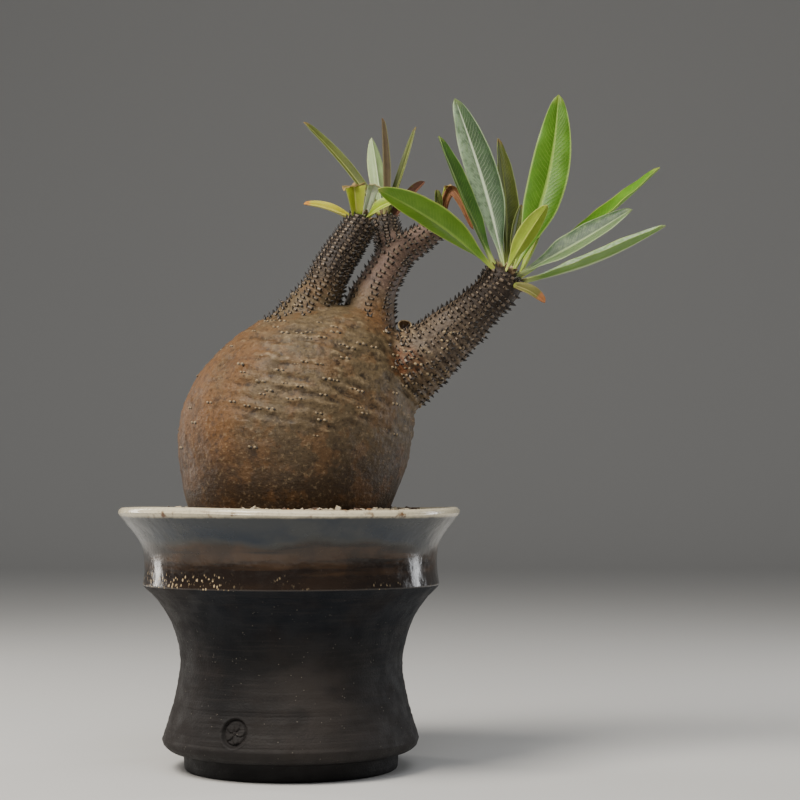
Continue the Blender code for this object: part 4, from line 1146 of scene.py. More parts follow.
def scar_tree():
    tree, given = new_tree("scattered scars", {
        "Scar": "Object", "Spacing": "Float", "Density": "Float", "Smallest": "Float", "Largest": "Float",
        "Seed": "Int", "Finish": "Material"})
    where = output_of(add_node(tree, "GeometryNodeInputNamedAttribute", {"data_type": "FLOAT"}, {"Name": "scar_chance"}))
    dots = add_node(tree, "GeometryNodeDistributePointsOnFaces", {"distribute_method": "POISSON"}, {
        "Mesh": given["Geometry"], "Distance Min": given["Spacing"], "Density Max": given["Density"],
        "Density Factor": where, "Seed": given["Seed"]})
    stand = add_node(tree, "FunctionNodeAlignRotationToVector", {"axis": "Z"}, {"Vector": dots.outputs["Normal"]})
    level = add_node(tree, "ShaderNodeVectorMath", {"operation": "CROSS_PRODUCT"},
                     {0: (0.1, 0.0, 1.0), 1: dots.outputs["Normal"]})
    square = add_node(tree, "FunctionNodeAlignRotationToVector", {"axis": "X", "pivot_axis": "Z"},
                      {"Rotation": stand.outputs[0], "Vector": level.outputs[0]})
    size = output_of(add_node(tree, "FunctionNodeRandomValue", {"data_type": "FLOAT"}, {
        "Min": given["Smallest"], "Max": given["Largest"], "Seed": given["Seed"]}))
    shape = add_node(tree, "GeometryNodeObjectInfo", None, {"Object": given["Scar"]})
    grown = add_node(tree, "GeometryNodeInstanceOnPoints", None, {
        "Points": dots.outputs["Points"], "Instance": shape.outputs["Geometry"], "Rotation": square.outputs[0],
        "Scale": size})
    close_tree(tree, grown.outputs[0], given["Finish"])
    return tree


SCAR_CROWDS = (((-30, -42, 107), 8.0), ((-60, -14, 112), 7.0), ((10, -30, 152), 6.0), ((40, -22, 128), 9.0))


def scar_chance(place, fold_crest, on_branch):
    band = ease(100, 122, place.z) * (1 - on_branch)
    crowd = max(bell((place - Vector(middle)).length, 0, size) for middle, size in SCAR_CROWDS)
    return min(1.0, band * (0.06 + 0.94 * ease(0.05, 0.5, fold_crest)) + crowd * 0.8 * (1 - on_branch))


def make_scar_finish():
    scar = Finish("spine scar")
    colour = scar.mix(scar.step(scar.attribute("tip"), 0.4, 0.6), paint(156, 136, 104), paint(20, 15, 12))
    colour = scar.mix(scar.step(scar.cloud(3, 3), 0.45, 0.65, 0.0, 0.5), colour, BARK_OLIVE)
    return scar.use(base_color=colour, roughness=0.6, normal=scar.bump(scar.cloud(0.4, 2), 0.05))


def grow_scars():
    mesh = skin.data
    fold_light_and_wear, dark, pink = (mesh.attributes[n].data for n in ("fold_light_and_wear", "dark_bark", "pink_bark"))
    chances = []
    for vertex, fold_crest, one, two in zip(mesh.vertices, fold_light_and_wear, dark, pink):
        chances.append(scar_chance(from_frame(vertex.co), fold_crest.value, max(one.value, two.value)))
    store(mesh, "scar_chance", chances)
    scar = make_scar()
    scars = grow("spine_scars", skin, scar_tree(), {
        "Scar": scar, "Spacing": SCAR_SPACING * MM, "Density": SCAR_DENSITY, "Smallest": 0.6, "Largest": 1.15,
        "Seed": 4, "Finish": make_scar_finish()})
    bpy.data.objects.remove(scar)
    mesh.attributes.remove(mesh.attributes["scar_chance"])
    hand_over(scars, slot="bark")


grow_scars()
hand_over(skin, "caudex", slot="bark")

# %% [markdown]
# ## Soil
# Loose grit: pumice, baked clay and a little lava, 1 to 3 mm. The body of the soil is a plain filling with an uneven
# top, as in the frame. What is seen is the top layer of grains, four rough stones set by the hundred, each turned,
# stretched and coloured by chance.

# %% The filling
SOIL_SIDES = 72
SOIL_RINGS = 16
SOIL_EDGE_HEIGHT = 85.4
SOIL_EDGE = 52.6
SOIL_BRINK = 34.4
SOIL_MOUND = 1.5


def soil_height(radius):
    share = (SOIL_EDGE - radius) / (SOIL_EDGE - SOIL_BRINK)
    return SOIL_EDGE_HEIGHT + SOIL_MOUND * math.sin(min(max(share, 0), 1) * math.pi / 2)


def make_soil():
    outline = [(15.0, 10.2), (15.0, 9.4), (35.6, 9.4), (37.3, 14.0), (34.4, 24.2), (32.6, WAIST_HEIGHT),
               (35.3, 48.0), (40.9, 56.0), (44.6, SHOULDER_HEIGHT), (44.6, 71.5), (47.0, 77.4), (51.0, 82.8),
               (SOIL_EDGE, SOIL_EDGE_HEIGHT)]
    for i in range(1, SOIL_RINGS + 1):
        radius = SOIL_EDGE + (SOIL_BRINK - SOIL_EDGE) * i / SOIL_RINGS
        outline.append((radius, soil_height(radius)))
    outline += [(33.0, 84.0), (28.9, 76.0), (17.6, 66.0), (8.8, 58.0), (6.2, 47.0), (3.6, 43.5)]
    rings = []
    for radius, height in outline:
        ring = []
        for j in range(SOIL_SIDES):
            angle = 2 * math.pi * j / SOIL_SIDES
            x, y = POT_X + LIP_SHIFT + radius * math.cos(angle), radius * math.sin(angle)
            bumps = grain_noise((x, y, 5), 3.0) * 0.5 if height > SOIL_EDGE_HEIGHT + 0.1 else 0.0
            ring.append((x, y, height + bumps))
        rings.append(ring)
    return add_piece("soil_filling", *bridge(rings))


soil = make_soil()
finish_mesh(soil, 60)

# %% Grit finish
GRIT_BUFF = paint(176, 146, 106)
GRIT_TAN = paint(142, 106, 72)
GRIT_PUMICE = paint(188, 174, 148)
GRIT_LAVA = paint(84, 66, 54)


def make_grit(name, by_grain):
    grit = Finish(name)
    tint = grit.attribute("tint") if by_grain else grit.cells(2.2, out="Distance")
    colour = grit.mix(grit.step(tint, 0.30, 0.34), GRIT_BUFF, GRIT_TAN)
    colour = grit.mix(grit.step(tint, 0.58, 0.62), colour, GRIT_PUMICE)
    colour = grit.mix(grit.step(tint, 0.94, 0.95), colour, GRIT_LAVA)
    colour = grit.mix(grit.step(grit.cloud(0.8, 3), 0.5, 0.7, 0.0, 0.35), colour, GRIT_LAVA)
    holes = grit.bump(grit.cloud(0.5, 3, 0.7), 0.2)
    return grit.use(base_color=colour, roughness=0.9, normal=holes)


soil.data.materials.append(make_grit("packed grit", False))

# %% Grains
GRAIN_SPACING = 1.3
GRAIN_DENSITY = 500000.0
GRAIN_SIZE = (0.8, 2.0)


def make_grain(seed):
    """A rough stone of twenty faces, about 1 mm in radius."""
    chance = random.Random(seed)
    shape = bmesh.new()
    bmesh.ops.create_icosphere(shape, subdivisions=1, radius=1.0)
    for vertex in shape.verts:
        vertex.co *= chance.uniform(0.78, 1.18)
    points = [vertex.co.copy() for vertex in shape.verts]
    faces = [[v.index for v in face.verts] for face in shape.faces]
    shape.free()
    stone = loose_shape(f"grain {seed}", points, faces)
    stone.data.shade_flat()
    return stone


def grain_tree():
    tree, given = new_tree("loose grit", {
        "Grains": "Collection", "Spacing": "Float", "Density": "Float", "Smallest": "Float", "Largest": "Float",
        "Seed": "Int", "Finish": "Material"})
    where = output_of(add_node(tree, "GeometryNodeInputNamedAttribute", {"data_type": "FLOAT"}, {"Name": "top"}))
    dots = add_node(tree, "GeometryNodeDistributePointsOnFaces", {"distribute_method": "POISSON"}, {
        "Mesh": given["Geometry"], "Distance Min": given["Spacing"], "Density Max": given["Density"],
        "Density Factor": where, "Seed": given["Seed"]})
    stones = add_node(tree, "GeometryNodeCollectionInfo", None,
                      {"Collection": given["Grains"], "Separate Children": True, "Reset Children": True})
    turn = output_of(add_node(tree, "FunctionNodeRandomValue", {"data_type": "FLOAT_VECTOR"},
                              {"Min": (0, 0, 0), "Max": (6.28, 6.28, 6.28), "Seed": given["Seed"]}))
    form = output_of(add_node(tree, "FunctionNodeRandomValue", {"data_type": "FLOAT_VECTOR"},
                              {"Min": (0.8, 0.8, 0.6), "Max": (1.35, 1.1, 0.95), "Seed": given["Seed"]}))
    size = output_of(add_node(tree, "FunctionNodeRandomValue", {"data_type": "FLOAT"},
                              {"Min": given["Smallest"], "Max": given["Largest"], "Seed": given["Seed"]}))
    scale = add_node(tree, "ShaderNodeVectorMath", {"operation": "SCALE"}, {0: form, "Scale": size})
    which = output_of(add_node(tree, "FunctionNodeRandomValue", {"data_type": "INT"},
                               {"Min": 0, "Max": 3, "Seed": given["Seed"]}))
    grown = add_node(tree, "GeometryNodeInstanceOnPoints", None, {
        "Points": dots.outputs["Points"], "Instance": stones.outputs[0], "Pick Instance": True,
        "Instance Index": which, "Rotation": turn, "Scale": scale.outputs["Vector"]})
    shade = output_of(add_node(tree, "FunctionNodeRandomValue", {"data_type": "FLOAT"},
                               {"Min": 0.0, "Max": 1.0, "Seed": given["Seed"]}))
    tinted = add_node(tree, "GeometryNodeStoreNamedAttribute", {"data_type": "FLOAT", "domain": "INSTANCE"},
                      {"Geometry": grown.outputs[0], "Name": "tint", "Value": shade})
    close_tree(tree, tinted.outputs[0], given["Finish"])
    return tree


def grow_grains():
    mesh = soil.data
    store(mesh, "top", [1.0 if from_frame(v.co).z > SOIL_EDGE_HEIGHT - 0.2 else 0.0 for v in mesh.vertices])
    stones = bpy.data.collections.new("grains")
    bpy.context.scene.collection.children.link(stones)
    for seed in range(4):
        stone = make_grain(seed)
        bpy.context.scene.collection.objects.unlink(stone)
        stones.objects.link(stone)
    grains = grow("loose_grit", soil, grain_tree(), {
        "Grains": stones, "Spacing": GRAIN_SPACING * MM, "Density": GRAIN_DENSITY, "Smallest": GRAIN_SIZE[0],
        "Largest": GRAIN_SIZE[1], "Seed": 3, "Finish": make_grit("loose grit", True)})
    for stone in list(stones.objects):
        bpy.data.objects.remove(stone)
    bpy.data.collections.remove(stones)
    mesh.attributes.remove(mesh.attributes["top"])
    hand_over(grains, slot="grit")


grow_grains()
hand_over(soil, "soil", slot="grit")

# %% [markdown]
# ## Leaves
# A leaf of this plant is a stiff blade, folded at a pale midrib, with a thin pale edge and fine veins that run out
# obliquely. Each blade is a closed sheet of many small faces on the frame's own path, so that it keeps its place.
# UV coordinates run across it and along it for the veins.

# %% Forms of the blades
BLADE_THICKNESS = 0.5
EDGE_THICKNESS = 0.28
MIDRIB_DEPTH = 0.75
MIDRIB_WIDTH = 0.75
BLADE_CROWN = 0.06
PATH_STEPS = 20
SEAT_REACH = 20.0
ROOT_SUNK = 0.5
LANCE_PEAK = 1.18
LANCE_FULLNESS = 0.68
LANCE_STALK = 0.3
LANCE_END = 0.07
STRAP_PEAK = 0.9
STRAP_END = 0.15
CUT_ROOT = 0.42


def lance(t):
    """A stalk-like root, widest past the middle, and a blunt tip."""
    swell = max(math.sin(math.pi * t ** LANCE_PEAK), 0.0) ** LANCE_FULLNESS
    end = LANCE_END * (1 - ease(0.97, 1.0, t) * 0.7)
    return swell * (LANCE_STALK + (1 - LANCE_STALK) * ease(0.0, 0.4, t)) + end


def strap(t):
    """Nearly even in width, with rounded ends."""
    end = STRAP_END * (1 - ease(0.93, 1.0, t) * 0.8)
    return max(math.sin(math.pi * t ** STRAP_PEAK), 0.0) ** 0.5 * (1 - STRAP_END) + end


def cut(t):
    """Wider to the end, where it is cut off."""
    return CUT_ROOT + (1 - CUT_ROOT) * t


# Each leaf: root, tip, width, turn of its upper face from the front in degrees, bow out of that face,
# sway to its right, fold, outline, finish and how much its edge waves
LEAVES = {
    "leaf_right_01": ((72.8, -8.0, 170.0), (57.0, 8.0, 232.8), 11.8, 22, -2.5, 2.6, 0.16, lance, "painted sheen half", 0.25),
    "leaf_right_02": ((69.8, -12.0, 170.0), (51.1, -4.0, 216.9), 8.6, 58, -1.0, 0.0, 0.28, lance, "deep", 0.2),
    "leaf_right_03": ((69.6, -14.0, 168.5), (30.4, -34.0, 193.4), 12.0, 127, 2.5, 0.0, 0.12, lance, "bright", 0.2),
    "leaf_right_04": ((73.6, -6.5, 170.5), (72.9, 20.0, 221.0), 9.0, 42, -2.0, 4.0, 0.22, lance, "moss", 0.2),
    "leaf_right_05": ((77.0, -9.0, 170.0), (92.7, -3.0, 231.6), 12.6, -6, -2.0, 3.6, 0.10, lance, "green", 0.25),
    "leaf_right_06": ((73.2, -14.8, 168.5), (86.7, -26.0, 189.3), 6.2, 200, 1.0, 0.0, 0.22, lance, "lime", 0.15),
    "leaf_right_07": ((76.2, -5.6, 169.0), (80.4, 9.0, 195.2), 5.0, 30, -1.0, 0.0, 0.20, lance, "moss", 0.1),
    "leaf_right_08": ((78.6, -7.4, 168.0), (129.4, 10.0, 208.6), 11.0, -70, -2.0, 0.0, 0.20, lance, "bright", 0.3),
    "leaf_right_09": ((77.6, -13.0, 167.5), (115.1, -24.0, 188.1), 11.0, -50, -1.0, 0.0, 0.15, lance, "glaucous", 0.25),
    "leaf_right_10": ((79.8, -10.4, 166.2), (128.3, -10.0, 184.9), 13.0, -80, -2.8, 0.0, 0.23, lance, "painted reflection top", 0.3),
    "leaf_right_11": ((79.0, -4.8, 168.0), (89.4, 2.0, 192.4), 4.4, -62, -1.0, 0.0, 0.25, lance, "lime", 0.1),
    "leaf_right_dry": ((76.4, -16.2, 163.6), (86.4, -18.0, 157.4), 4.2, -30, 1.2, 0.0, 0.35, strap, "fading", 0.4),
    "leaf_left_01": ((29.8, 9.0, 193.4), (3.3, 14.0, 225.7), 4.6, 40, -0.6, 2.6, 0.30, strap, "moss", 0.1),
    "leaf_left_02": ((30.4, 11.5, 193.4), (27.3, 22.0, 221.4), 5.6, 195, -1.0, 0.0, 0.15, lance, "pale green", 0.1),
    "leaf_left_03": ((32.0, 7.6, 193.9), (31.4, 9.0, 226.0), 3.6, 140, 0.6, 0.0, 0.30, strap, "purple", 0.1),
    "leaf_left_04": ((32.6, 10.8, 192.9), (43.2, 14.0, 223.9), 3.2, -45, -0.6, 0.0, 0.30, strap, "moss", 0.1),
    "leaf_left_05": ((20.2, -2.2, 188.9), (4.5, -6.0, 193.0), 4.2, 50, 1.0, 0.0, 0.28, strap, "yellow", 0.1),
    "leaf_left_cut": ((22.8, -6.5, 190.7), (21.6, -8.5, 199.6), 8.4, 15, 0.6, 0.0, 0.30, cut, "cut", 0.5),
    "leaf_left_stub": ((26.2, -1.5, 190.6), (28.2, -2.5, 198.8), 4.6, 20, 0.0, 0.0, 0.12, cut, "pale", 0.3),
    "leaf_left_06": ((26.8, -5.5, 189.0), (37.0, -10.0, 193.6), 4.6, -40, 1.2, 0.0, 0.25, lance, "lime", 0.2),
    "leaf_left_dry": ((35.0, 12.8, 191.2), (46.4, 16.0, 204.6), 4.4, -35, 0.6, 0.0, 0.40, strap, "dry", 0.7),
    "leaf_third_01": ((50.6, 2.6, 193.6), (50.2, 1.0, 199.0), 3.4, 30, 1.0, 0.0, 0.35, strap, "moss", 0.3),
    "leaf_third_02": ((53.2, 8.0, 193.6), (55.2, 8.6, 202.0), 4.2, 15, -0.6, 0.0, 0.35, cut, "cut", 0.5),
}
DRY_CURL = [(54.6, 4.6, 192.4), (55.8, 3.8, 199.0), (58.0, 3.0, 202.0), (61.0, 1.6, 198.0), (65.2, 0.0, 187.6)]
DRY_CURL_FORM = (3.3, 20, 0.3)
# How far round the end of a cut leaf rolls out of its face, in radians
CURLS = {"leaf_left_cut": 3.6, "leaf_third_02": 2.8, "leaf_left_stub": 0.9}
CURL_START = 0.74
CURL_STRETCH = 1.25


def blade_axes(ahead, turn):
    """A blade's direction to its right and out of its upper face, which looks to the front at no turn."""
    side = Vector((0, 1, 0)).cross(ahead).normalized()
    side.rotate(Matrix.Rotation(math.radians(turn), 3, ahead))
    return side, side.cross(ahead).normalized()


def arched(root, tip, turn, bow, sway):
    side, up = blade_axes((tip - root).normalized(), turn)
    path = []
    for i in range(PATH_STEPS + 1):
        t = i / PATH_STEPS
        path.append(root.lerp(tip, t) + (up * bow + side * sway) * math.sin(math.pi * t))
    return path


def blade_points(path, width, turn, fold, outline, waving, seed, curl=0.0, along=44, half=9):
    """Rings round a blade: its upper face from left to right and its underside back, with their UVs."""
    rings, spots = [], []
    length = sum((b - a).length for a, b in zip(path, path[1:]))
    for i in range(along + 1):
        t = i / along
        place = t * (len(path) - 1)
        low = min(int(place), len(path) - 2)
        centre = path[low].lerp(path[low + 1], place - low)
        before = path[low].lerp(path[low + 1], max(place - low - 0.5, -0.5))
        after = path[low].lerp(path[low + 1], min(place - low + 0.5, 1.5))
        ahead = (after - before).normalized()
        side, up = blade_axes(ahead, turn)
        if curl and t > CURL_START:
            turned = curl * (t - CURL_START) / (1 - CURL_START)
            radius = length * (1 - CURL_START) / curl
            centre = bend[0] + bend[1] * radius * math.sin(turned) + bend[2] * radius * (1 - math.cos(turned))
            ahead, up = (bend[1] * math.cos(turned) + bend[2] * math.sin(turned),
                         bend[2] * math.cos(turned) - bend[1] * math.sin(turned))
            side = bend[3]
        else:
            bend = (centre, ahead, up, side)
        reach = width / 2 * outline(t)
        stalk = 1 - ease(0.0, 0.16, t)
        top, under, top_uv, under_uv = [], [], [], []
        for j in range(-half, half + 1):
            share = j / half
            ridge = math.sqrt(share * share + 0.012) - 0.11
            rise = ridge * reach * fold * 2 + BLADE_CROWN * math.sin(math.pi * abs(share)) * reach
            ripple = noise.noise(Vector((t * length / 7.0, share * 1.3, seed * 5.1))) * waving * share * share * 0.7
            rise += ripple * min(reach, 3.0)
            thick = BLADE_THICKNESS + (EDGE_THICKNESS - BLADE_THICKNESS) * abs(share) ** 2 + stalk * 0.5
            rib = MIDRIB_DEPTH * (1 - 0.75 * t) * bell(share * reach, 0, MIDRIB_WIDTH * (1 - 0.5 * t))
            groove = 0.16 * bell(share * reach, 0, 0.4) * (1 - stalk)
            edge = max(0.0, 1 - (abs(share) ** 10)) * 0.85 + 0.15
            point = centre + side * reach * share + up * rise
            top.append(point + up * (thick / 2 * edge - groove))
            under.append(point - up * (thick / 2 * edge + rib))
            top_uv.append(((share + 1) / 2, t))
            under_uv.append(((share + 1) / 2, t))
        rings.append(top + under[::-1])
        spots.append(top_uv + under_uv[::-1])
    return rings, spots


def blade_piece(name, rings, spots, upper, lower):
    around = len(rings[0])
    points, faces = bridge(rings)
    faces = faces[:-2]
    uvs = [uv for ring in spots for uv in ring]
    last = len(points) - around
    for j in range(around // 2 - 1):
        under = around - 1 - j
        faces.append((j, under, under - 1, j + 1))
        faces.append((last + j, last + j + 1, last + under - 1, last + under))
    leaf = add_piece(name, points, faces, (upper, lower))
    layer = leaf.data.uv_layers.new(name="blade")
    for face in leaf.data.polygons:
        on_top = all(v % around < around // 2 for v in face.vertices)
        face.material_index = 0 if on_top else 1
        for corner in face.loop_indices:
            layer.data[corner].uv = uvs[leaf.data.loops[corner].vertex_index]
    finish_mesh(leaf, 70)
    return leaf


# %% [markdown]
# ## Leaf finishes
# One recipe serves all leaves: a ground colour with soft patches, pale midrib and edge, side veins drawn as oblique
# stripes that fade towards the edge, and a paler root. The plant carries leaves of all ages, so the recipe is
# mixed in several tints, from bright green through moss and purple to dry brown. The underside is duller and paler.

# %% Leaf recipe
def make_leaf_finish(name, ground, patch, rib, edge, root, tip, painted_light_half=None, veins=0.2, gloss=0.42,
                     tip_from=0.93):
    leaf = Finish(name)
    uv = leaf.add("ShaderNodeTexCoord", name="UV")
    across, along = leaf.axis("X", uv), leaf.axis("Y", uv)
    off = leaf.maths("MULTIPLY", leaf.maths("ABSOLUTE", leaf.maths("SUBTRACT", across, 0.5)), 2.0)
    colour = leaf.mix(leaf.step(leaf.cloud(6, 4, 0.6), 0.4, 0.62), ground, patch)
    # Painted light: the left half of a folded blade gets its own colour, a painted reflection where it is paler than
    # the rest and painted shade where it is darker.
    if painted_light_half:
        mottled = leaf.mix(leaf.step(leaf.cloud(2.2, 4, 0.65), 0.46, 0.62, 0.0, 0.5), painted_light_half, ground)
        colour = leaf.mix(leaf.step(across, 0.52, 0.48), colour, mottled)
    comb = leaf.maths("SUBTRACT", leaf.maths("MULTIPLY", along, 38.0), leaf.maths("MULTIPLY", off, 4.2))
    shaky = leaf.maths("ADD", comb, leaf.maths("MULTIPLY", leaf.cloud(3, 2), 1.2))
    stripe = leaf.maths("SINE", leaf.maths("MULTIPLY", shaky, 2 * math.pi))
    vein = leaf.maths("MULTIPLY", leaf.step(stripe, 0.7, 1.0), leaf.step(off, 0.95, 0.3))
    colour = leaf.mix(leaf.maths("MULTIPLY", vein, veins), colour, rib)
    fine = leaf.step(leaf.cells(0.6, kind="DISTANCE_TO_EDGE"), 0.05, 0.0, 0.0, 0.12)
    colour = leaf.mix(fine, colour, rib)
    colour = leaf.mix(leaf.step(leaf.cloud(0.9, 3), 0.5, 0.75, 0.0, 0.25), colour, patch)
    rib_width = leaf.step(along, 0.0, 1.0, 0.2, 0.07)
    colour = leaf.mix(leaf.step(off, rib_width, 0.03), colour, rib)
    colour = leaf.mix(leaf.step(off, 0.88, 0.97, 0.0, 0.8), colour, edge)
    colour = leaf.mix(leaf.step(along, 0.16, 0.0, 0.0, 0.9), colour, root)
    colour = leaf.mix(leaf.step(along, tip_from, min(tip_from + 0.08, 1.0), 0.0, 0.85), colour, tip)
    relief = leaf.maths("ADD", leaf.maths("MULTIPLY", stripe, 0.16), leaf.cloud(1.6, 3))
    return leaf.use(base_color=colour, roughness=gloss, normal=leaf.bump(relief, 0.06), subsurface_weight=0.2,
                    subsurface_radius=(0.6, 1.0, 0.3), subsurface_scale=0.0008, specular_ior_level=0.28)


# Each tint: ground, patch, midrib, edge, root and tip, and where the halves differ, the left one; that difference is
# painted light, a painted reflection on the paler half and painted shade on the darker half
TINTS = {
    "painted sheen half": ((54, 76, 44), (64, 88, 54), (196, 208, 176), (166, 182, 144), (178, 192, 112), (110, 126, 76),
                 (140, 160, 128)),
    "glaucous": ((104, 124, 84), (92, 112, 72), (150, 168, 120), (158, 174, 128), (170, 184, 110), (110, 126, 76),
                 (54, 76, 48)),
    "painted reflection top": ((84, 128, 26), (96, 140, 36), (190, 204, 160), (176, 196, 110), (190, 200, 120), (160, 170, 110),
                   (160, 178, 146)),
    "deep": ((48, 80, 22), (58, 94, 28), (136, 164, 76), (150, 172, 100), (170, 184, 90), (110, 126, 56)),
    "bright": ((86, 134, 20), (98, 146, 28), (140, 176, 64), (180, 192, 88), (186, 196, 84), (150, 160, 64)),
    "green": ((72, 114, 18), (82, 126, 24), (140, 170, 76), (156, 180, 96), (170, 184, 80), (130, 146, 56)),
    "moss": ((76, 84, 30), (88, 96, 36), (150, 156, 88), (160, 166, 108), (172, 176, 84), (122, 96, 54)),
    "lime": ((132, 154, 30), (146, 166, 42), (180, 192, 78), (188, 194, 96), (204, 206, 110), (146, 146, 56)),
    "pale green": ((136, 158, 100), (150, 172, 114), (190, 204, 156), (180, 192, 130), (170, 184, 100), (170, 182, 130)),
    "purple": ((62, 46, 34), (74, 58, 38), (104, 88, 60), (146, 140, 92), (156, 156, 84), (98, 70, 50)),
    "yellow": ((180, 172, 46), (190, 182, 60), (206, 200, 110), (214, 200, 120), (184, 188, 70), (206, 130, 52)),
    "cut": ((148, 158, 42), (164, 172, 56), (190, 192, 96), (170, 172, 84), (120, 140, 44), (150, 110, 72)),
    "pale": ((178, 188, 154), (192, 200, 168), (208, 214, 184), (198, 200, 166), (176, 184, 110), (180, 168, 122)),
    "fading": ((108, 106, 50), (92, 84, 42), (140, 136, 80), (132, 112, 66), (128, 134, 60), (164, 104, 66)),
    "dry": ((92, 56, 40), (70, 42, 30), (124, 84, 60), (110, 74, 54), (90, 66, 44), (84, 52, 38)),
    "husk": ((138, 92, 58), (112, 70, 44), (166, 122, 84), (168, 122, 84), (120, 110, 56), (126, 78, 48)),
}
VEINS = {"glaucous": 0.1, "green": 0.3, "dry": 0.4, "husk": 0.4}
WITHERED = {"cut": 0.74, "fading": 0.7, "yellow": 0.84}
DULL = {"dry": 0.7, "husk": 0.65, "fading": 0.6, "cut": 0.5}


def duller(colour, share=0.14, grey=(150, 160, 120)):
    return tuple(c + (g - c) * share for c, g in zip(colour, grey))


leaf_finishes = {}
for tint, colours in TINTS.items():
    upper = [paint(*c) for c in colours]
    lower = [paint(*duller(c)) for c in colours]
    shared = {"veins": VEINS.get(tint, 0.2), "gloss": DULL.get(tint, 0.42), "tip_from": WITHERED.get(tint, 0.93)}
    leaf_finishes[tint] = (make_leaf_finish("leaf " + tint, *upper, **shared),
                           make_leaf_finish("leaf " + tint + " underside", *lower, **shared))
print("leaf finishes:", len(leaf_finishes) * 2)

# %% Setting the leaves on their tips
YELLOW_LEAVES = ("leaf_left_05", "leaf_left_06", "leaf_left_cut", "leaf_left_stub")
TIPS = {"right": [RIGHT_BRANCH], "left": [LEFT_BRANCH, BACK_FORK], "third": [MIDDLE_BRANCH]}


def skin_tree():
    mesh = skin.data
    mesh.calc_loop_triangles()
    return BVHTree.FromPolygons([v.co for v in mesh.vertices], [tuple(t.vertices) for t in mesh.loop_triangles])


def seat(rings, tree, branch):
    """The move, straight out of its growing tip, that sinks a leaf's root just into the skin."""
    heart = Vector(branch[-1][:3]) - growing_direction(branch) * branch[-1][3]
    root = sum(rings[0], Vector()) / len(rings[0])
    out = (root - heart).normalized()
    heights = []
    for point in rings[0]:
        place, _, _, _ = tree.ray_cast(in_frame(point + out * SEAT_REACH), -out)
        if place:
            heights.append((point - from_frame(place)).dot(out))
    return out * (-ROOT_SUNK - min(heights)) if heights else Vector()


def leaf_slot(name):
    if "dry" in name:
        return "leaf_dry"
    if name in YELLOW_LEAVES:
        return "leaf_yellow"
    return "leaf_olive" if "left" in name else "leaf_green"


def make_leaves():
    tree = skin_tree()
    for seed, (name, (root, tip, width, turn, bow, sway, fold, outline, tint, waving)) in enumerate(LEAVES.items()):
        root, tip = Vector(root), Vector(tip)
        branches = TIPS[name.split("_")[1]]
        branch = min(branches, key=lambda b: (Vector(b[-1][:3]) - root).length)
        if name in CURLS:
            tip = root.lerp(tip, CURL_STRETCH)
        path = arched(root, tip, turn, bow, sway)
        rings, spots = blade_points(path, width, turn, fold, outline, waving, seed, CURLS.get(name, 0.0))
        shift = seat(rings, tree, branch)
        last = len(rings) - 1
        rings = [[point + shift * (1 - i / last) for point in ring] for i, ring in enumerate(rings)]
        leaf = blade_piece(name.replace("leaf", "blade"), rings, spots, *leaf_finishes[tint])
        hand_over(leaf, name, slot=leaf_slot(name))
    path = [Vector(p) for p in smooth_run(DRY_CURL, 6)]
    width, turn, fold = DRY_CURL_FORM
    rings, spots = blade_points(path, width, turn, fold, strap, 2.6, 40)
    shift = seat(rings, tree, MIDDLE_BRANCH)
    rings = [[point + shift for point in ring] for ring in rings]
    leaf = blade_piece("blade_third_dry", rings, spots, *leaf_finishes["husk"])
    hand_over(leaf, "leaf_third_dry", slot="leaf_dry")


make_leaves()

# %% [markdown]
# ## Buds and husks
# Between the leaf roots each growing tip carries small dark buds and papery, pale husks of old leaves, and one dry
# husk lies like a shell in the saddle between two branches. Each is a thin, bent plate or a small drop, seated by a
# ray on the skin. A few dozen are enough, so plain Python places them, with a seeded draw.

# %% Small bits on the tips
BITS = {"left": (LEFT_BRANCH, 15, 5), "back": (BACK_FORK, 10, 4), "third": (MIDDLE_BRANCH, 20, 4),
        "right": (RIGHT_BRANCH, 26, 9)}
HUSK_LENGTH = (1.4, 2.8)
BUD_SIZE = (0.5, 0.9)


def husk(points, faces, tips, base, aim, out, length, width):
    """A thin plate that bends outwards to a pointed end."""
    side = aim.cross(out).normalized()
    out = side.cross(aim).normalized()
    start = len(points)
    levels = ((-0.2, 0.7, 0.0), (0.25, 1.0, 0.02), (0.6, 0.85, 0.1), (0.9, 0.4, 0.26))
    for rise, girth, bend in levels:
        middle = base + aim * length * rise + out * length * bend
        for across, thick in ((-1, 0.0), (0, 0.14), (1, 0.0), (0, -0.1)):
            points.append(middle + side * across * girth * width / 2 + out * (thick - 0.2 * abs(across) * width / 2))
            tips.append(max(rise, 0.0))
    for level in range(len(levels) - 1):
        for j in range(4):
            k = (j + 1) % 4
            low = start + level * 4
            faces.append((low + j, low + k, low + 4 + k, low + 4 + j))
    faces.append(tuple(start + j for j in reversed(range(4))))
    faces.append(tuple(start + 4 * (len(levels) - 1) + j for j in range(4)))


def drop(points, faces, tips, middle, aim, size):
    """A small bud: a pointed egg of a few faces."""
    side = aim.orthogonal().normalized()
    other = aim.cross(side)
    start, sides = len(points), 7
    for rise, girth in ((-0.6, 0.5), (0.0, 0.85), (0.6, 0.9), (1.2, 0.55)):
        for j in range(sides):
            angle = 2 * math.pi * j / sides
            points.append(middle + aim * size * rise + (side * math.cos(angle) + other * math.sin(angle)) * size * girth)
            tips.append(2.0)
    points.append(middle + aim * size * 1.6)
    tips.append(2.0)
    for level in range(3):
        for j in range(sides):
            k = (j + 1) % sides
            low = start + level * sides
            faces.append((low + j, low + k, low + sides + k, low + sides + j))
    top = start + 3 * sides
    for j in range(sides):
        faces.append((top + j, top + (j + 1) % sides, top + sides))
    faces.append(tuple(start + j for j in reversed(range(sides))))


def on_skin(tree, place, aim):
    """Where a ray meets the skin, and the way out of it there; places in millimetres."""
    hit, normal, _, _ = tree.ray_cast(in_frame(place), aim)
    return (from_frame(hit), normal) if hit else (None, None)


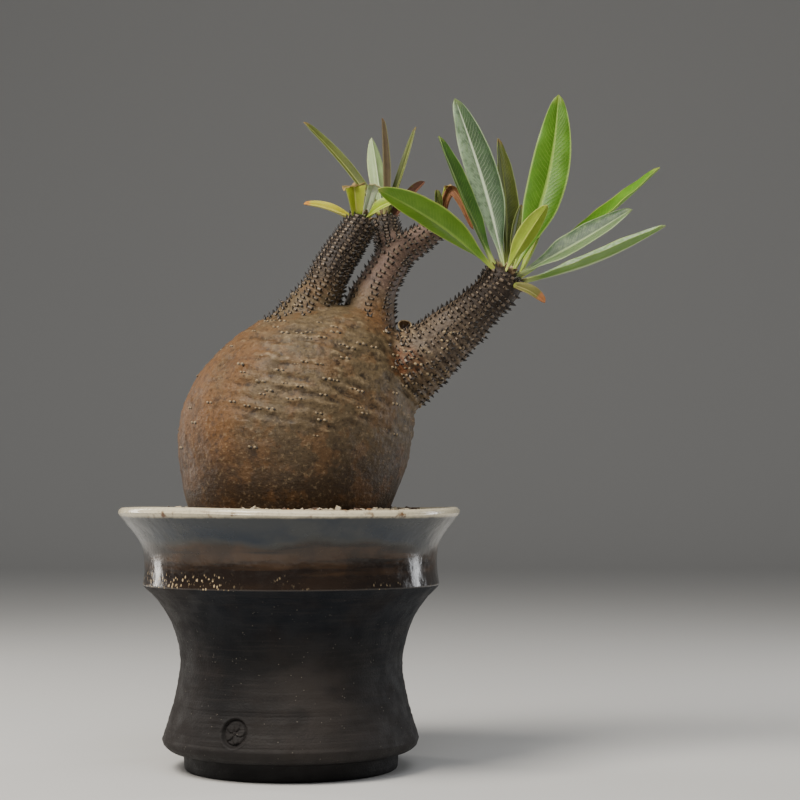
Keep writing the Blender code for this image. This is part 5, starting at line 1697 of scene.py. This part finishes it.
def make_bits_finish():
    papery = Finish("husks and buds")
    tip = papery.attribute("tip")
    colour = papery.mix(papery.step(tip, 0.0, 0.8), paint(112, 88, 62), paint(186, 166, 128))
    colour = papery.mix(papery.step(papery.cloud(1.4, 3), 0.42, 0.6, 0.0, 0.7), colour, paint(84, 60, 42))
    bud = papery.mix(papery.step(papery.cloud(0.9, 2), 0.42, 0.6), paint(34, 40, 20), paint(74, 84, 36))
    colour = papery.mix(papery.step(tip, 1.4, 1.6), colour, bud)
    return papery.use(base_color=colour, roughness=0.5, normal=papery.bump(papery.cloud(0.4, 3), 0.06))


def make_bits():
    chance = random.Random(12)
    tree = skin_tree()
    points, faces, tips = [], [], []
    for branch, husks, buds in BITS.values():
        ahead = growing_direction(branch)
        side, other = across_axes(ahead)
        heart = Vector(branch[-1][:3]) - ahead * branch[-1][3] * 0.4
        for i in range(husks + buds):
            turn, lean = i * 2.4, chance.uniform(0.15, 1.15)
            out = side * math.cos(turn) + other * math.sin(turn)
            aim = (ahead * math.cos(lean) + out * math.sin(lean)).normalized()
            place, normal = on_skin(tree, heart + aim * 20, -aim)
            if place is None:
                continue
            if i < husks:
                grow_to = (ahead * 0.7 + out * 0.45 + normal * 0.5).normalized()
                length = chance.uniform(*HUSK_LENGTH)
                husk(points, faces, tips, place, grow_to, out, length, length * chance.uniform(0.45, 0.7))
            else:
                drop(points, faces, tips, place, (ahead + out * 0.5).normalized(), chance.uniform(*BUD_SIZE))
    bits = add_piece("tip_husks_and_buds", points, faces, [make_bits_finish()])
    store(bits.data, "tip", tips)
    finish_mesh(bits, 60)
    hand_over(bits, slot="leaf_dry")


make_bits()

# %% The shell in the saddle
SHELL_PLACE = (39.2, -4.5)
SHELL_SIZE = (2.5, 1.7, 2.0)
SHELL_WALL = 0.16


def make_shell():
    """A dry husk like half a nut shell, with its hollow side to the front."""
    place, _ = on_skin(skin_tree(), Vector((*SHELL_PLACE, 165)), Vector((0, 0, -1)))
    rings, around, up = [], 22, 9
    for wall in (0.0, SHELL_WALL):
        order = range(up + 1) if wall == 0 else range(up, -1, -1)
        for i in order:
            angle = math.pi * 0.62 * i / up
            ring = []
            for j in range(around):
                turn = 2 * math.pi * j / around
                radius = math.sin(max(angle, 0.03)) - wall
                wobble = 1 + 0.06 * math.sin(3 * turn + 1) * ease(0.8, 1.9, angle)
                ring.append(place + Vector((SHELL_SIZE[0] * radius * math.cos(turn) * wobble,
                                            SHELL_SIZE[1] * (math.cos(angle) - 0.7) * (1 - wall) + 0.4,
                                            SHELL_SIZE[2] * radius * math.sin(turn) * wobble + 1.1)))
            rings.append(ring)
    rim = [1.0 if i in (up, up + 1) else 0.0 for i in range(len(rings)) for _ in range(around)]
    shell = add_piece("dry_shell", *bridge(rings), [make_bits_finish()])
    store(shell.data, "tip", rim)
    finish_mesh(shell, 60)
    hand_over(shell, slot="leaf_dry")


make_shell()
